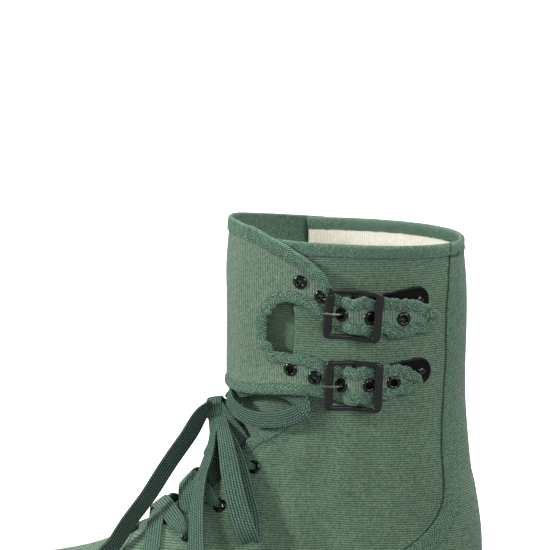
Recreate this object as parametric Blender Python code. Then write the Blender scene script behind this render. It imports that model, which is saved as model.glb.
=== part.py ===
"""Canvas field boot with a two-buckle cuff, left foot, standing on its sole.

Frame: toe -X, heel +X, lateral (outer) side -Y, medial side +Y, +Z up.
Lengths in the tables are millimetres; meshes are written in metres.
"""
import math

import bmesh
import bpy
import numpy as np
from mathutils import Vector, kdtree
from mathutils.geometry import delaunay_2d_cdt

for old in list(bpy.data.objects):
    bpy.data.objects.remove(old, do_unlink=True)

# ------------------------------------------------------------------ sizes
MM = 0.001
SHIFT_X = 0.0            # brings the middle of the boot's box to X = 0
SHIFT_Y = 1.5            # brings the middle of the boot's box to Y = 0
WALL = 2.0               # canvas and lining together
GAP = 0.3                # pieces that touch keep this distance
RIM_GAP = 0.5            # rubber rim to canvas, between facets of a curve
FLAP_THICK = 2.2
FLAP_LIFT = 0.5
TONGUE_THICK = 1.7
TONGUE_GAP = 0.9         # tongue to quarter lining
INSOLE_THICK = 3.0
COLLAR_U = 425.0         # section on which the collar ends
RIM_THICK = 3.0          # rubber rim round the upper
SOLE_FLARE = 4.2         # sole edge beyond the upper
LUG_DEPTH = 3.5
LUG_GROOVE = 4.5
LACE_WIDTH = 10.4
LACE_THICK = 1.6
EYELET_R = 3.6
EYELET_HOLE_R = 1.75
HOLE_R = 2.4             # hole in canvas for an eyelet barrel
BAR_OVER = 2.4           # thickness of a buckle bar
PLATE_THICK = 0.95
PLATE_LOW = 0.52         # buckle plate to quarter

# ------------------------------------------------------------------ form
# One row for each section of the last. A section's plane holds the line from
# its top/front point (tx, tz) to its bottom/back point (bx, bz), and the Y axis.
# yc: middle; wl, wm: lateral and medial half widths; t0: where it is widest,
# as a share of the line; nf, nb: fullness before and behind that place.
FORM_COLUMNS = ("tx", "tz", "bx", "bz", "yc", "wl", "wm", "t0", "nf", "nb")
FORM = (
    (-143.9, 32.0, -143.9, 0.0, 8.0, 3.0, 3.0, .34, 2.3, 8.0),
    (-142.6, 39.0, -142.6, 0.0, 8.0, 11.0, 10.5, .44, 2.4, 8.0),
    (-139.4, 43.4, -139.4, 0.0, 7.8, 19.0, 18.0, .50, 2.4, 8.0),
    (-133.5, 46.8, -133.5, 0.0, 7.4, 27.0, 25.5, .53, 2.4, 8.0),
    (-124.0, 49.4, -124.0, 0.0, 6.6, 34.6, 32.6, .56, 2.4, 8.0),
    (-111.0, 51.4, -111.0, 0.0, 5.4, 41.0, 38.4, .58, 2.4, 8.0),
    (-95.0, 53.4, -95.0, 0.0, 3.8, 45.6, 42.6, .60, 2.35, 8.0),
    (-77.0, 56.2, -76.5, 0.0, 2.2, 48.6, 44.8, .63, 2.3, 8.0),
    (-60.0, 60.0, -58.0, 0.0, 1.0, 49.4, 44.2, .66, 2.2, 8.0),
    (-46.0, 65.0, -40.0, 0.0, 0.2, 48.2, 41.4, .70, 2.1, 8.0),
    (-33.0, 72.5, -20.0, 0.0, 0.0, 45.6, 38.4, .72, 2.0, 7.5),
    (-20.0, 81.8, 6.0, 0.0, 0.0, 42.6, 36.4, .72, 2.0, 7.0),
    (-8.5, 91.5, 36.0, 0.0, 0.0, 40.0, 35.6, .68, 2.0, 6.5),
    (0.5, 101.5, 68.0, 0.0, 0.0, 38.4, 35.8, .62, 2.0, 6.0),
    (7.5, 112.5, 100.0, 0.0, 0.0, 37.4, 36.2, .58, 2.05, 5.2),
    (12.5, 123.5, 127.0, 0.0, 0.0, 37.0, 36.4, .54, 2.1, 4.3),
    (15.6, 133.0, 144.5, 7.0, 0.0, 37.0, 36.6, .52, 2.15, 3.3),
    (17.2, 140.5, 147.0, 29.0, 0.0, 37.3, 36.9, .51, 2.2, 2.8),
    (18.0, 148.0, 146.8, 53.0, 0.0, 37.8, 37.4, .51, 2.2, 2.5),
    (18.4, 157.0, 145.3, 79.0, 0.0, 38.6, 38.2, .51, 2.2, 2.4),
    (18.6, 169.0, 141.4, 106.0, 0.0, 39.6, 39.2, .51, 2.2, 2.35),
    (18.7, 183.0, 138.2, 139.0, 0.0, 40.8, 40.4, .51, 2.2, 2.3),
    (18.9, 199.0, 138.2, 172.0, 0.0, 42.2, 41.8, .51, 2.2, 2.3),
    (19.6, 215.0, 138.0, 202.0, 0.0, 43.4, 43.0, .50, 2.2, 2.3),
    (20.6, 231.0, 136.0, 227.0, 0.0, 44.2, 43.8, .50, 2.2, 2.3),
    (21.6, 246.0, 134.5, 250.0, 0.0, 44.8, 44.4, .50, 2.2, 2.3),
)


def natural_spline(knots, values):
    """Natural cubic spline through (knots, values), as a function."""
    k, v = np.asarray(knots, float), np.asarray(values, float)
    n, h = len(k), np.diff(k)
    a, r = np.zeros((n, n)), np.zeros(n)
    a[0, 0] = a[-1, -1] = 1.0
    for i in range(1, n - 1):
        a[i, i - 1], a[i, i], a[i, i + 1] = h[i - 1], 2 * (h[i - 1] + h[i]), h[i]
        r[i] = 6 * ((v[i + 1] - v[i]) / h[i] - (v[i] - v[i - 1]) / h[i - 1])
    m = np.linalg.solve(a, r)

    def f(x):
        x = np.clip(np.asarray(x, float), k[0], k[-1])
        i = np.clip(np.searchsorted(k, x) - 1, 0, n - 2)
        d, e = x - k[i], k[i + 1] - x
        return ((m[i] * e**3 + m[i + 1] * d**3) / (6 * h[i])
                + (v[i] / h[i] - m[i] * h[i] / 6) * e
                + (v[i + 1] / h[i] - m[i + 1] * h[i] / 6) * d)
    return f


def make_form(rows_n=448, half_n=121):
    """Lattice of the last: points for u (along the sections) and s (round a
    section: -1 bottom by the lateral side, 0 top or front, +1 bottom by the medial
    side, even along the arc), with outward normals."""
    rows = np.array(FORM, float)
    top, bot = np.diff(rows[:, 0:2], axis=0), np.diff(rows[:, 2:4], axis=0)
    step = np.sqrt(0.5 * ((top**2).sum(1) + (bot**2).sum(1)))
    knots = np.concatenate([[0.0], np.cumsum(step)])
    u = np.linspace(0.0, knots[-1], rows_n)
    c = {name: natural_spline(knots, rows[:, i])(u)[:, None]
         for i, name in enumerate(FORM_COLUMNS)}
    th = np.linspace(0.0, math.pi, 481)[None, :]
    front = th <= math.pi / 2
    n = np.where(front, c["nf"], c["nb"])
    co, si = np.abs(np.cos(th)), np.abs(np.sin(th))
    rho = (co**n + si**n)**(1.0 / n)
    t = np.where(front, c["t0"] * (1 - co / rho), c["t0"] + (1 - c["t0"]) * co / rho)
    halves = []
    for side, width in ((-1, "wl"), (1, "wm")):
        curve = np.stack([c["tx"] + (c["bx"] - c["tx"]) * t,
                          c["yc"] + side * c[width] * si / rho,
                          c["tz"] + (c["bz"] - c["tz"]) * t], -1)
        arc = np.concatenate([np.zeros((rows_n, 1)), np.cumsum(
            np.linalg.norm(np.diff(curve, axis=1), axis=2), axis=1)], 1)
        even = np.linspace(0.0, 1.0, half_n)
        half = np.empty((rows_n, half_n, 3))
        for i in range(rows_n):
            for j in range(3):
                half[i, :, j] = np.interp(even * arc[i, -1], arc[i], curve[i, :, j])
        halves.append(half)
    grid = np.concatenate([halves[0][:, :0:-1], halves[1]], axis=1)
    normal = np.cross(np.gradient(grid, axis=0), np.gradient(grid, axis=1))
    normal /= np.maximum(np.linalg.norm(normal, axis=2, keepdims=True), 1e-9)
    return u, np.linspace(-1.0, 1.0, 2 * half_n - 1), grid, normal


LAT_U, LAT_S, LAT_P, LAT_N = make_form()
U_END = float(LAT_U[-1])
S_MM = 140.0             # one unit of s, about, for even meshes


def blend(field, u, s):
    """Bilinear reading of a lattice field."""
    fu = np.clip(np.asarray(u, float) / U_END, 0, 1) * (len(LAT_U) - 1)
    fs = (np.clip(np.asarray(s, float), -1, 1) + 1) / 2 * (len(LAT_S) - 1)
    i = np.minimum(fu.astype(int), len(LAT_U) - 2)
    j = np.minimum(fs.astype(int), len(LAT_S) - 2)
    a, b = (fu - i)[..., None], (fs - j)[..., None]
    return ((field[i, j] * (1 - a) + field[i + 1, j] * a) * (1 - b)
            + (field[i, j + 1] * (1 - a) + field[i + 1, j + 1] * a) * b)


def normal_at(u, s):
    n = blend(LAT_N, u, s)
    return n / np.linalg.norm(n, axis=-1, keepdims=True)


def point(u, s, off=0.0):
    """Point of the form, moved out along its normal."""
    return blend(LAT_P, u, s) + normal_at(u, s) * np.asarray(off, float)[..., None]


TREES = {}
HALF = (len(LAT_S) - 1) // 2
for key, cols_ in ((-1, range(0, HALF + 1)), (1, range(HALF, 2 * HALF + 1))):
    tree = kdtree.KDTree(len(LAT_U) * len(cols_))
    for i in range(len(LAT_U)):
        for j in cols_:
            tree.insert((LAT_P[i, j, 0], 0.0, LAT_P[i, j, 2]), i * len(LAT_S) + j)
    tree.balance()
    TREES[key] = tree


def side_us(x, z, side=-1):
    """(u, s) of the form's point that is seen at (x, z) from the given side."""
    _, index, _ = TREES[side].find((float(x), 0.0, float(z)))
    u, s = LAT_U[index // len(LAT_S)], LAT_S[index % len(LAT_S)]
    for _ in range(12):
        lo, hi = (-1.0, 0.0) if side < 0 else (0.0, 1.0)
        p = blend(LAT_P, u, s)
        pu = (blend(LAT_P, u + .5, s) - blend(LAT_P, u - .5, s))
        ps = (blend(LAT_P, u, min(s + .004, hi)) - blend(LAT_P, u, max(s - .004, lo)))
        ps = ps / (min(s + .004, hi) - max(s - .004, lo))
        m = np.array([[pu[0], ps[0]], [pu[2], ps[2]]])
        d = np.array([x - p[0], z - p[2]])
        if abs(np.linalg.det(m)) < 1e-6:
            break
        du, ds = np.linalg.solve(m, d)
        u = float(np.clip(u + np.clip(du, -4, 4), 0, U_END))
        s = float(np.clip(s + np.clip(ds, -.04, .04), lo, hi))
    return u, s


def round_us(s, z):
    """(u, s) on the shaft at height z, at the place s round it."""
    j = (s + 1) / 2 * (len(LAT_S) - 1)
    j0 = min(int(j), len(LAT_S) - 2)
    column = LAT_P[:, j0, 2] * (1 - (j - j0)) + LAT_P[:, j0 + 1, 2] * (j - j0)
    first = int(np.argmin(column[:-60])) if abs(s) > .9 else int(len(LAT_U) * .2)
    return float(np.interp(z, column[first:], LAT_U[first:])), s


# ------------------------------------------------------------------ meshes
MATERIALS = {   # name: (red, green, blue, roughness, metallic), linear colours
    "canvas": (.085, .125, .092, .95, 0.0),
    "flap_canvas": (.17, .235, .175, .95, 0.0),
    "tongue_canvas": (.07, .105, .078, .95, 0.0),
    "lace": (.062, .115, .086, .9, 0.0),
    "rubber": (.018, .019, .018, .6, 0.0),
    "bed": (.78, .74, .66, .9, 0.0),
    "black_metal": (.03, .033, .032, .38, .85),
    "prong_metal": (.22, .22, .21, .3, .95),
}


def material(name):
    found = bpy.data.materials.get(name)
    if found:
        return found
    r, g, b, rough, metal = MATERIALS[name]
    made = bpy.data.materials.new(name)
    made.use_nodes = True
    shader = made.node_tree.nodes["Principled BSDF"]
    shader.inputs["Base Color"].default_value = (r, g, b, 1)
    shader.inputs["Roughness"].default_value = rough
    shader.inputs["Metallic"].default_value = metal
    return made


def make_object(name, verts, faces, look, angle=40.0):
    """Closed mesh from millimetre points, faces turned outwards."""
    pts = (np.asarray(verts, float) + (SHIFT_X, SHIFT_Y, 0.0)) * MM
    mesh = bpy.data.meshes.new(name)
    mesh.from_pydata([tuple(p) for p in pts], [], [tuple(f) for f in faces])
    bm = bmesh.new()
    bm.from_mesh(mesh)
    bmesh.ops.remove_doubles(bm, verts=bm.verts, dist=1e-6)
    bmesh.ops.recalc_face_normals(bm, faces=bm.faces)
    if bm.calc_volume(signed=True) < 0:
        bmesh.ops.reverse_faces(bm, faces=bm.faces)
    bm.to_mesh(mesh)
    bm.free()
    mesh.shade_smooth()
    mesh.set_sharp_from_angle(angle=math.radians(angle))
    obj = bpy.data.objects.new(name, mesh)
    mesh.materials.append(material(look))
    bpy.context.scene.collection.objects.link(obj)
    return obj


def inside(poly, q):
    """Which of the points q lie inside the polygon."""
    px, py = poly[:, 0], poly[:, 1]
    nx, ny = np.roll(px, -1), np.roll(py, -1)
    x, y = q[:, 0][:, None], q[:, 1][:, None]
    crosses = ((py > y) != (ny > y)) & (
        x < (nx - px) * (y - py) / np.where(ny == py, 1e-12, ny - py) + px)
    return crosses.sum(1) % 2 == 1


def resample(poly, step):
    """Closed polygon with points at most a step apart; its corners stay."""
    out = []
    for p, q in zip(poly, np.roll(poly, -1, axis=0)):
        n = max(1, int(math.ceil(np.linalg.norm(q - p) / step)))
        out += [p + (q - p) * k / n for k in range(n)]
    return np.array(out)


def triangulate(outline, holes, chains, step, clear=.62, fine=None):
    """Even triangles in a flat outline with holes; chains are lines kept as edges;
    fine is a smaller step and a test for the places that need it."""
    fixed, edges = [], []
    for loop, closed in [(outline, True)] + [(h, True) for h in holes] + \
            [(c, False) for c in chains]:
        base = len(fixed)
        fixed += [tuple(p) for p in loop]
        n = len(loop)
        edges += [(base + k, base + (k + 1) % n) for k in range(n if closed else n - 1)]
    lo, hi = outline.min(0), outline.max(0)
    grids = []
    for size in [step] + ([fine[0]] if fine else []):
        rows = []
        for k, y in enumerate(np.arange(lo[1] + size * .4, hi[1], size * .866)):
            xs = np.arange(lo[0] + size * (.25 if k % 2 else .75), hi[0], size)
            rows.append(np.stack([xs, np.full_like(xs, y)], 1))
        grid = np.concatenate(rows) if rows else np.empty((0, 2))
        if fine:
            grid = grid[fine[1](grid) == (size == fine[0])]
        keep = inside(outline, grid)
        for h in holes:
            keep &= ~inside(h, grid)
        grid = grid[keep]
        near = np.array([np.min(np.hypot(*(np.array(fixed) - g).T)) for g in grid])
        grids.append(grid[near > size * clear] if len(grid) else grid)
    grid = np.concatenate(grids)
    coords = [Vector(p) for p in fixed] + [Vector(g) for g in grid]
    v, _, f, _, _, _ = delaunay_2d_cdt(coords, edges, [], 0, 1e-6)
    v = np.array([tuple(p) for p in v])
    f = np.array([tuple(t) for t in f if len(t) == 3])
    mid = v[f].mean(1)
    keep = inside(outline, mid)
    for h in holes:
        keep &= ~inside(h, mid)
    area = np.abs(np.cross(v[f[:, 1]] - v[f[:, 0]], v[f[:, 2]] - v[f[:, 0]]))
    return v, f[keep & (area > 1e-7)]


def edge_runs(tris):
    """Directed edges that only one triangle has."""
    count = {}
    for t in tris:
        for a, b in ((t[0], t[1]), (t[1], t[2]), (t[2], t[0])):
            count[(a, b)] = count.get((a, b), 0) + 1
    return [(a, b) for (a, b) in count if (b, a) not in count]


def sheet_solid(outer, inner, tris, open_edges=None):
    """Closed solid between two matching layers of triangles."""
    n = len(outer)
    faces = [tuple(t) for t in tris] + [tuple(t[::-1] + n) for t in np.asarray(tris)]
    for a, b in (edge_runs(tris) if open_edges is None else open_edges):
        faces += [(b, a, a + n), (b, a + n, b + n)]
    return np.concatenate([outer, inner]), faces


def flat(us):
    """(u, s) pairs as millimetre-like plane coordinates, and back."""
    return np.asarray(us, float) * (1.0, S_MM)


def disc_us(u, s, radius, n=8, turn=0.0):
    """Round hole on the form, as n (u, s) points."""
    p = blend(LAT_P, u, s)
    pu = blend(LAT_P, u + .5, s) - blend(LAT_P, u - .5, s)
    ps = (blend(LAT_P, u, s + .004) - blend(LAT_P, u, s - .004)) / .008
    e1 = pu / np.linalg.norm(pu)
    nrm = np.cross(pu, ps)
    e2 = np.cross(nrm / np.linalg.norm(nrm), e1)
    m = np.stack([pu, ps], 1)
    out = []
    for k in range(n):
        f = turn + 2 * math.pi * k / n
        d = radius * (math.cos(f) * e1 + math.sin(f) * e2)
        out.append(np.array([u, s]) + np.linalg.lstsq(m, d, rcond=None)[0])
    return np.array(out)


def form_panel(name, outline_us, holes_us, low, high, step, look, edge_step=None, fine=None):
    """Panel that follows the form between the offsets low(u, s) and high(u, s)."""
    poly = resample(flat(outline_us), edge_step or step)
    v, f = triangulate(poly, [flat(h) for h in holes_us], [], step, fine=fine)
    u, s = v[:, 0], v[:, 1] / S_MM
    lo = low(u, s) if callable(low) else np.full(len(u), float(low))
    hi = high(u, s) if callable(high) else np.full(len(u), float(high))
    verts, faces = sheet_solid(point(u, s, hi), point(u, s, lo), f)
    return make_object(name, verts, faces, look)


# ------------------------------------------------------------------ sole line
# Heights along the boot. floor: cup floor under the upper's edge; rim: top of
# the rubber rim; under: tread.
SOLE_COLUMNS = ("x", "floor", "rim", "under")
SOLE = (
    (-150.0, 19.5, 30.5, 11.0),
    (-130.0, 14.8, 29.0, 5.2),
    (-110.0, 11.6, 27.4, 1.6),
    (-92.0, 10.4, 26.2, 0.0),
    (-60.0, 10.2, 25.4, 0.0),
    (-25.0, 11.4, 25.8, 0.0),
    (15.0, 15.0, 28.4, 0.0),
    (55.0, 19.0, 32.0, 0.0),
    (90.0, 21.0, 34.6, 0.0),
    (150.0, 22.0, 37.0, 0.0),
)
SOLE_AT = {c: natural_spline([r[0] for r in SOLE], [r[i] for r in SOLE])
           for i, c in enumerate(SOLE_COLUMNS)}


def under(x):
    return np.maximum(np.where(np.asarray(x) > -92.0, 0.0, SOLE_AT["under"](x)), 0.0)


STATIONS = 34


def back_u(height):
    """Section whose back point is at the height."""
    line = LAT_P[:, -1, 2]
    start = int(len(LAT_U) * .5)
    return float(np.interp(height, line[start:], LAT_U[start:]))


def station_lines():
    """(u, s) along the cup floor and along the rim, toe to heel, for each side."""
    lines = {}
    for level in ("floor", "rim"):
        u_back = back_u(float(SOLE_AT[level](146.0)))
        x_back = float(blend(LAT_P, u_back, 1.0)[0])
        x_toe = float(LAT_P[0, 0, 0])
        for side in (-1, 1):
            row = []
            for k in range(STATIONS):
                share = (1 - math.cos(math.pi * k / STATIONS)) / 2
                x = x_toe + (x_back - x_toe) * share
                if k == 0:
                    z = float(SOLE_AT[level](x))
                    zs = LAT_P[0, :HALF + 1, 2][::-1] if side < 0 else LAT_P[0, HALF:, 2]
                    s = np.interp(-z, -zs, np.linspace(0, 1, HALF + 1))
                    row.append((0.0, side * float(s)))
                else:
                    row.append(side_us(x, float(SOLE_AT[level](x)), side))
            lines[level, side] = np.array(row + [(u_back, float(side))])
    return lines


LINES = station_lines()


def ring(level):
    """Closed loop of points at a level: lateral toe to heel, back, medial to toe."""
    lat, med = LINES[level, -1], LINES[level, 1]
    us = np.concatenate([lat, med[-2::-1]])
    return point(us[:, 0], us[:, 1], 0.0)


def plan_normals(loop):
    """Outward normals of a closed loop, seen from above."""
    ahead, behind = np.roll(loop, -1, axis=0), np.roll(loop, 1, axis=0)
    d1, d2 = (ahead - loop)[:, :2], (loop - behind)[:, :2]
    d1 /= np.linalg.norm(d1, axis=1, keepdims=True)
    d2 /= np.linalg.norm(d2, axis=1, keepdims=True)
    t = d1 + d2
    t /= np.linalg.norm(t, axis=1, keepdims=True)
    n = np.stack([t[:, 1], -t[:, 0], np.zeros(len(t))], 1)
    out = loop - loop.mean(0)
    return n if (n * out).sum() > 0 else -n


RING_FLOOR, RING_RIM = ring("floor"), ring("rim")
NORM_FLOOR, NORM_RIM = plan_normals(RING_FLOOR), plan_normals(RING_RIM)
RING_N = len(RING_FLOOR)


def bridge(loops):
    """Quads between loops that lie one after the other in one list."""
    faces = []
    for k in range(loops - 1):
        for i in range(RING_N):
            j = (i + 1) % RING_N
            a, b = k * RING_N, (k + 1) * RING_N
            faces += [(a + i, a + j, b + j), (a + i, b + j, b + i)]
    return faces


def ladder(first):
    """Triangles that close a loop from its lateral to its medial side."""
    faces, n = [], RING_N
    for i in range(STATIONS - 1):
        a, b, c, d = i, i + 1, n - 2 - i, n - 1 - i
        faces += [(first + a, first + b, first + c), (first + a, first + c, first + d)]
    faces.append((first + STATIONS - 1, first + STATIONS, first + STATIONS + 1))
    return faces


def box_mesh(x0, x1, y0, y1, z0, z1):
    v = [(x, y, z) for z in (z0, z1) for y in (y0, y1) for x in (x0, x1)]
    f = [(0, 1, 3, 2), (4, 5, 7, 6), (0, 1, 5, 4), (2, 3, 7, 6), (0, 2, 6, 4), (1, 3, 7, 5)]
    return v, f


def make_sole():
    at = lambda ring_, nrm, out, z: np.stack(
        [ring_[:, 0] + nrm[:, 0] * out, ring_[:, 1] + nrm[:, 1] * out, z], 1)
    zf, zr = RING_FLOOR[:, 2], RING_RIM[:, 2]
    edge = at(RING_FLOOR, NORM_FLOOR, SOLE_FLARE, zf)
    zb = under(edge[:, 0])
    loops = [
        at(RING_FLOOR, NORM_FLOOR, RIM_GAP, zf - GAP),
        at(RING_RIM, NORM_RIM, RIM_GAP, zr),
        at(RING_RIM, NORM_RIM, RIM_THICK, zr),
        at(RING_FLOOR, NORM_FLOOR, SOLE_FLARE, zb + 5.0),
        at(RING_FLOOR, NORM_FLOOR, SOLE_FLARE - 1.0, zb),
    ]
    verts = np.concatenate(loops)
    faces = bridge(5) + ladder(0) + ladder(4 * RING_N)
    sole = make_object("outsole", verts, faces, "rubber", 30)
    # grooves between the lugs, and the arch with the heel's front face
    cv, cf = [], []

    def add(v, f):
        base = len(cv)
        cv.extend(v)
        cf.extend([tuple(base + i for i in t) for t in f])
    for x in [-121 + 11.5 * k for k in range(7)] + [75 + 12.0 * k for k in range(6)]:
        deep = float(under(x)) + LUG_DEPTH
        add(*box_mesh(x - LUG_GROOVE / 2, x + LUG_GROOVE / 2, -80, 80, -6, deep))
    arch = [(-40.0, -6.0), (-40.0, -.001), (-28.0, .9), (-8.0, 2.8), (18.0, 5.2),
            (42.0, 6.6), (61.0, 7.0), (61.0, -6.0)]
    n = len(arch)
    v = [(x, y, z) for y in (-80.0, 80.0) for x, z in arch]
    f = [tuple(range(n)), tuple(range(2 * n - 1, n - 1, -1))]
    f += [(i, (i + 1) % n, (i + 1) % n + n, i + n) for i in range(n)]
    add(v, f)
    cutter = make_object("sole_cutter", cv, cf, "rubber")
    bm = bmesh.new()
    bm.from_mesh(cutter.data)
    bmesh.ops.recalc_face_normals(bm, faces=bm.faces)
    bm.to_mesh(cutter.data)
    bm.free()
    cutter.hide_render = True
    cutter.display_type = "WIRE"
    cut = sole.modifiers.new("tread", "BOOLEAN")
    cut.operation, cut.solver, cut.object = "DIFFERENCE", "EXACT", cutter
    return sole


def make_insole():
    toe = np.clip((-126.0 - RING_FLOOR[:, :1]) / 14.0, 0, 1)
    inset = WALL + .9 + 1.8 * toe
    zf = RING_FLOOR[:, 2]
    low = RING_FLOOR - NORM_FLOOR * inset
    top = RING_FLOOR - NORM_FLOOR * (inset + .3)
    low[:, 2], top[:, 2] = zf + .1, zf + .1 + INSOLE_THICK
    faces = bridge(2) + ladder(0) + ladder(RING_N)
    return make_object("insole", np.concatenate([low, top]), faces, "bed")


# ------------------------------------------------------------------ upper
# Edge of each quarter, from the bottom of the throat to the collar: u, then s of
# the lateral and of the medial edge.
THROAT_COLUMNS = ("u", "lateral", "medial")
THROAT = (
    (117.0, 0.0, 0.0),
    (118.2, -.040, .040),
    (121.5, -.066, .066),
    (128.0, -.085, .086),
    (140.0, -.119, .121),
    (150.0, -.134, .137),
    (164.0, -.146, .150),
    (199.0, -.124, .128),
    (232.0, -.117, .121),
    (254.0, -.125, .131),
    (276.6, -.177, .185),
    (294.4, -.228, .240),
    (312.3, -.281, .300),
    (322.0, -.315, .342),
    (328.0, -.326, .356),
    (336.0, -.317, .358),
    (346.0, -.311, .358),
    (384.0, -.317, .364),
    (406.0, -.287, .366),
    (COLLAR_U, -.243, .367),
)
# Eyelets of the facings: u, then s of the lateral and of the medial one.
EYELET_COLUMNS = ("u", "lateral", "medial")
LACE_EYELETS = (
    (244.4, -.172, .176),
    (199.3, -.182, .186),
    (164.2, -.217, .221),
    (134.0, -.268, .272),
)


def make_upper():
    top = COLLAR_U
    u_floor = LINES["floor", 1][-1][0]
    u_rim = LINES["rim", 1][-1][0]
    seam = list(np.linspace(u_rim, top, int((top - u_rim) / 9.0) + 1))
    lat, med = LINES["floor", -1], LINES["floor", 1]
    front_lat = [(r[0], r[1]) for r in THROAT]
    front_med = [(r[0], r[2]) for r in THROAT]

    def along(points, step):
        pts = np.array(points, float)
        out = [pts[0]]
        for p, q in zip(pts, pts[1:]):
            n = max(1, int(math.ceil(np.linalg.norm(flat(q) - flat(p)) / step)))
            out += [p + (q - p) * k / n for k in range(1, n + 1)]
        return [tuple(p) for p in out]
    toe = [(0.0, s) for s in np.linspace(med[0][1], LINES["rim", 1][0][1], 2)]
    toe += [(0.0, s) for s in np.linspace(LINES["rim", 1][0][1], LINES["rim", -1][0][1], 9)[1:]]
    toe += [(0.0, lat[0][1])]
    ring_us = (
        [tuple(p) for p in lat]                                   # lateral feather, toe to back
        + [(u, -1.0) for u in seam]                               # up the back
        + along([(top, -1.0), front_lat[-1]], 9.0)[1:]            # lateral collar
        + along(front_lat[::-1], 9.0)[1:]                         # down the lateral facing
        + along(front_med, 9.0)[1:]                               # up the medial facing
        + along([front_med[-1], (top, 1.0)], 9.0)[1:]             # medial collar
        + [(u, 1.0) for u in seam[-2::-1]]                        # down the back
        + [tuple(p) for p in med[::-1]]                           # medial feather, back to toe
        + toe[1:-1]                                               # across the toe
    )
    holes = []
    for u, s_lat, s_med in LACE_EYELETS:
        holes += [flat(disc_us(u, s_lat, HOLE_R)), flat(disc_us(u, s_med, HOLE_R))]
    chains = [flat(LINES["rim", -1])[1:-1], flat(LINES["rim", 1])[1:-1]]
    v, f = triangulate(flat(ring_us), holes, chains, 10.9)
    u, s = v[:, 0], v[:, 1] / S_MM
    outer, inner = point(u, s, 0.0), point(u, s, -WALL)
    # join the two halves along the back, and close the toe
    twin = {}
    for i in np.where(np.abs(s) > 1 - 1e-6)[0]:
        twin.setdefault(round(float(u[i]), 3), []).append(i)
    index = np.arange(len(u))
    for pair in twin.values():
        if len(pair) == 2:
            index[pair[1]] = pair[0]
            for layer in (outer, inner):
                layer[pair[0]] = (layer[pair[0]] + layer[pair[1]]) / 2
                layer[pair[0]][1] = 0.0
    f = index[f]
    tip = sorted(np.where(u < 1e-6)[0], key=lambda i: s[i])
    a, b = 0, len(tip) - 1
    cap = []
    while b - a > 1:
        cap.append((tip[a], tip[b], tip[a + 1]))
        a += 1
        if b - a > 1:
            cap.append((tip[a], tip[b], tip[b - 1]))
            b -= 1
    f = np.concatenate([f, np.array(cap)])
    runs = edge_runs(f)
    tipset = set(tip)
    # turn the toe's triangles the same way as their neighbours
    if any(x in tipset and y in tipset and abs(s[x]) + abs(s[y]) < 1.5 and
           not {x, y} == {tip[0], tip[-1]} for x, y in runs):
        f[-len(cap):] = f[-len(cap):, ::-1]
    verts, faces = sheet_solid(outer, inner, f)
    return make_object("upper", verts, faces, "canvas")


# ------------------------------------------------------------------ tongue
TONGUE_COLUMNS = ("u", "half")
TONGUE = ((102.0, .07), (108.0, .14), (126.0, .18), (180.0, .195), (235.0, .22), (275.0, .31),
          (310.0, .40), (340.0, .44), (392.0, .44), (402.0, .36), (405.0, .20))


def make_tongue():
    lat = [(u, -h) for u, h in TONGUE]
    med = [(u, h) for u, h in TONGUE[::-1]]
    top = -WALL - TONGUE_GAP
    return form_panel("tongue", lat + med, [], top - TONGUE_THICK, top, 19.0,
                      "tongue_canvas", 17.0)


make_sole()
make_insole()
make_upper()
make_tongue()


# ------------------------------------------------------------------ cuff flap
BUCKLE_COLUMNS = ("name", "x", "z", "turn", "rivet_x", "rivet_z", "prong_y")
BUCKLES = (
    ("upper", 79.5, 192.3, -5.0, 112.5, 198.7, .1),
    ("lower", 79.9, 155.6, -1.5, 113.8, 161.9, 0.0),
)
STRAPS_PART_Z = 174.0    # height between the two straps
# Lift of a strap over its buckle: distance along the strap from the middle bar,
# then the strap's inner face above the quarter.
STRAP_LIFT = natural_spline((-30, -20, -13, -10, -5, 0, 5, 10, 13, 20, 50),
                            (.5, .5, .5, .6, 2.6, 4.0, 3.3, 2.0, 1.8, 1.8, 1.8))
# The flap's lower edge stands off where the lace's near loop is tucked under it.
TUCK_LIFT = 3.1
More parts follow.
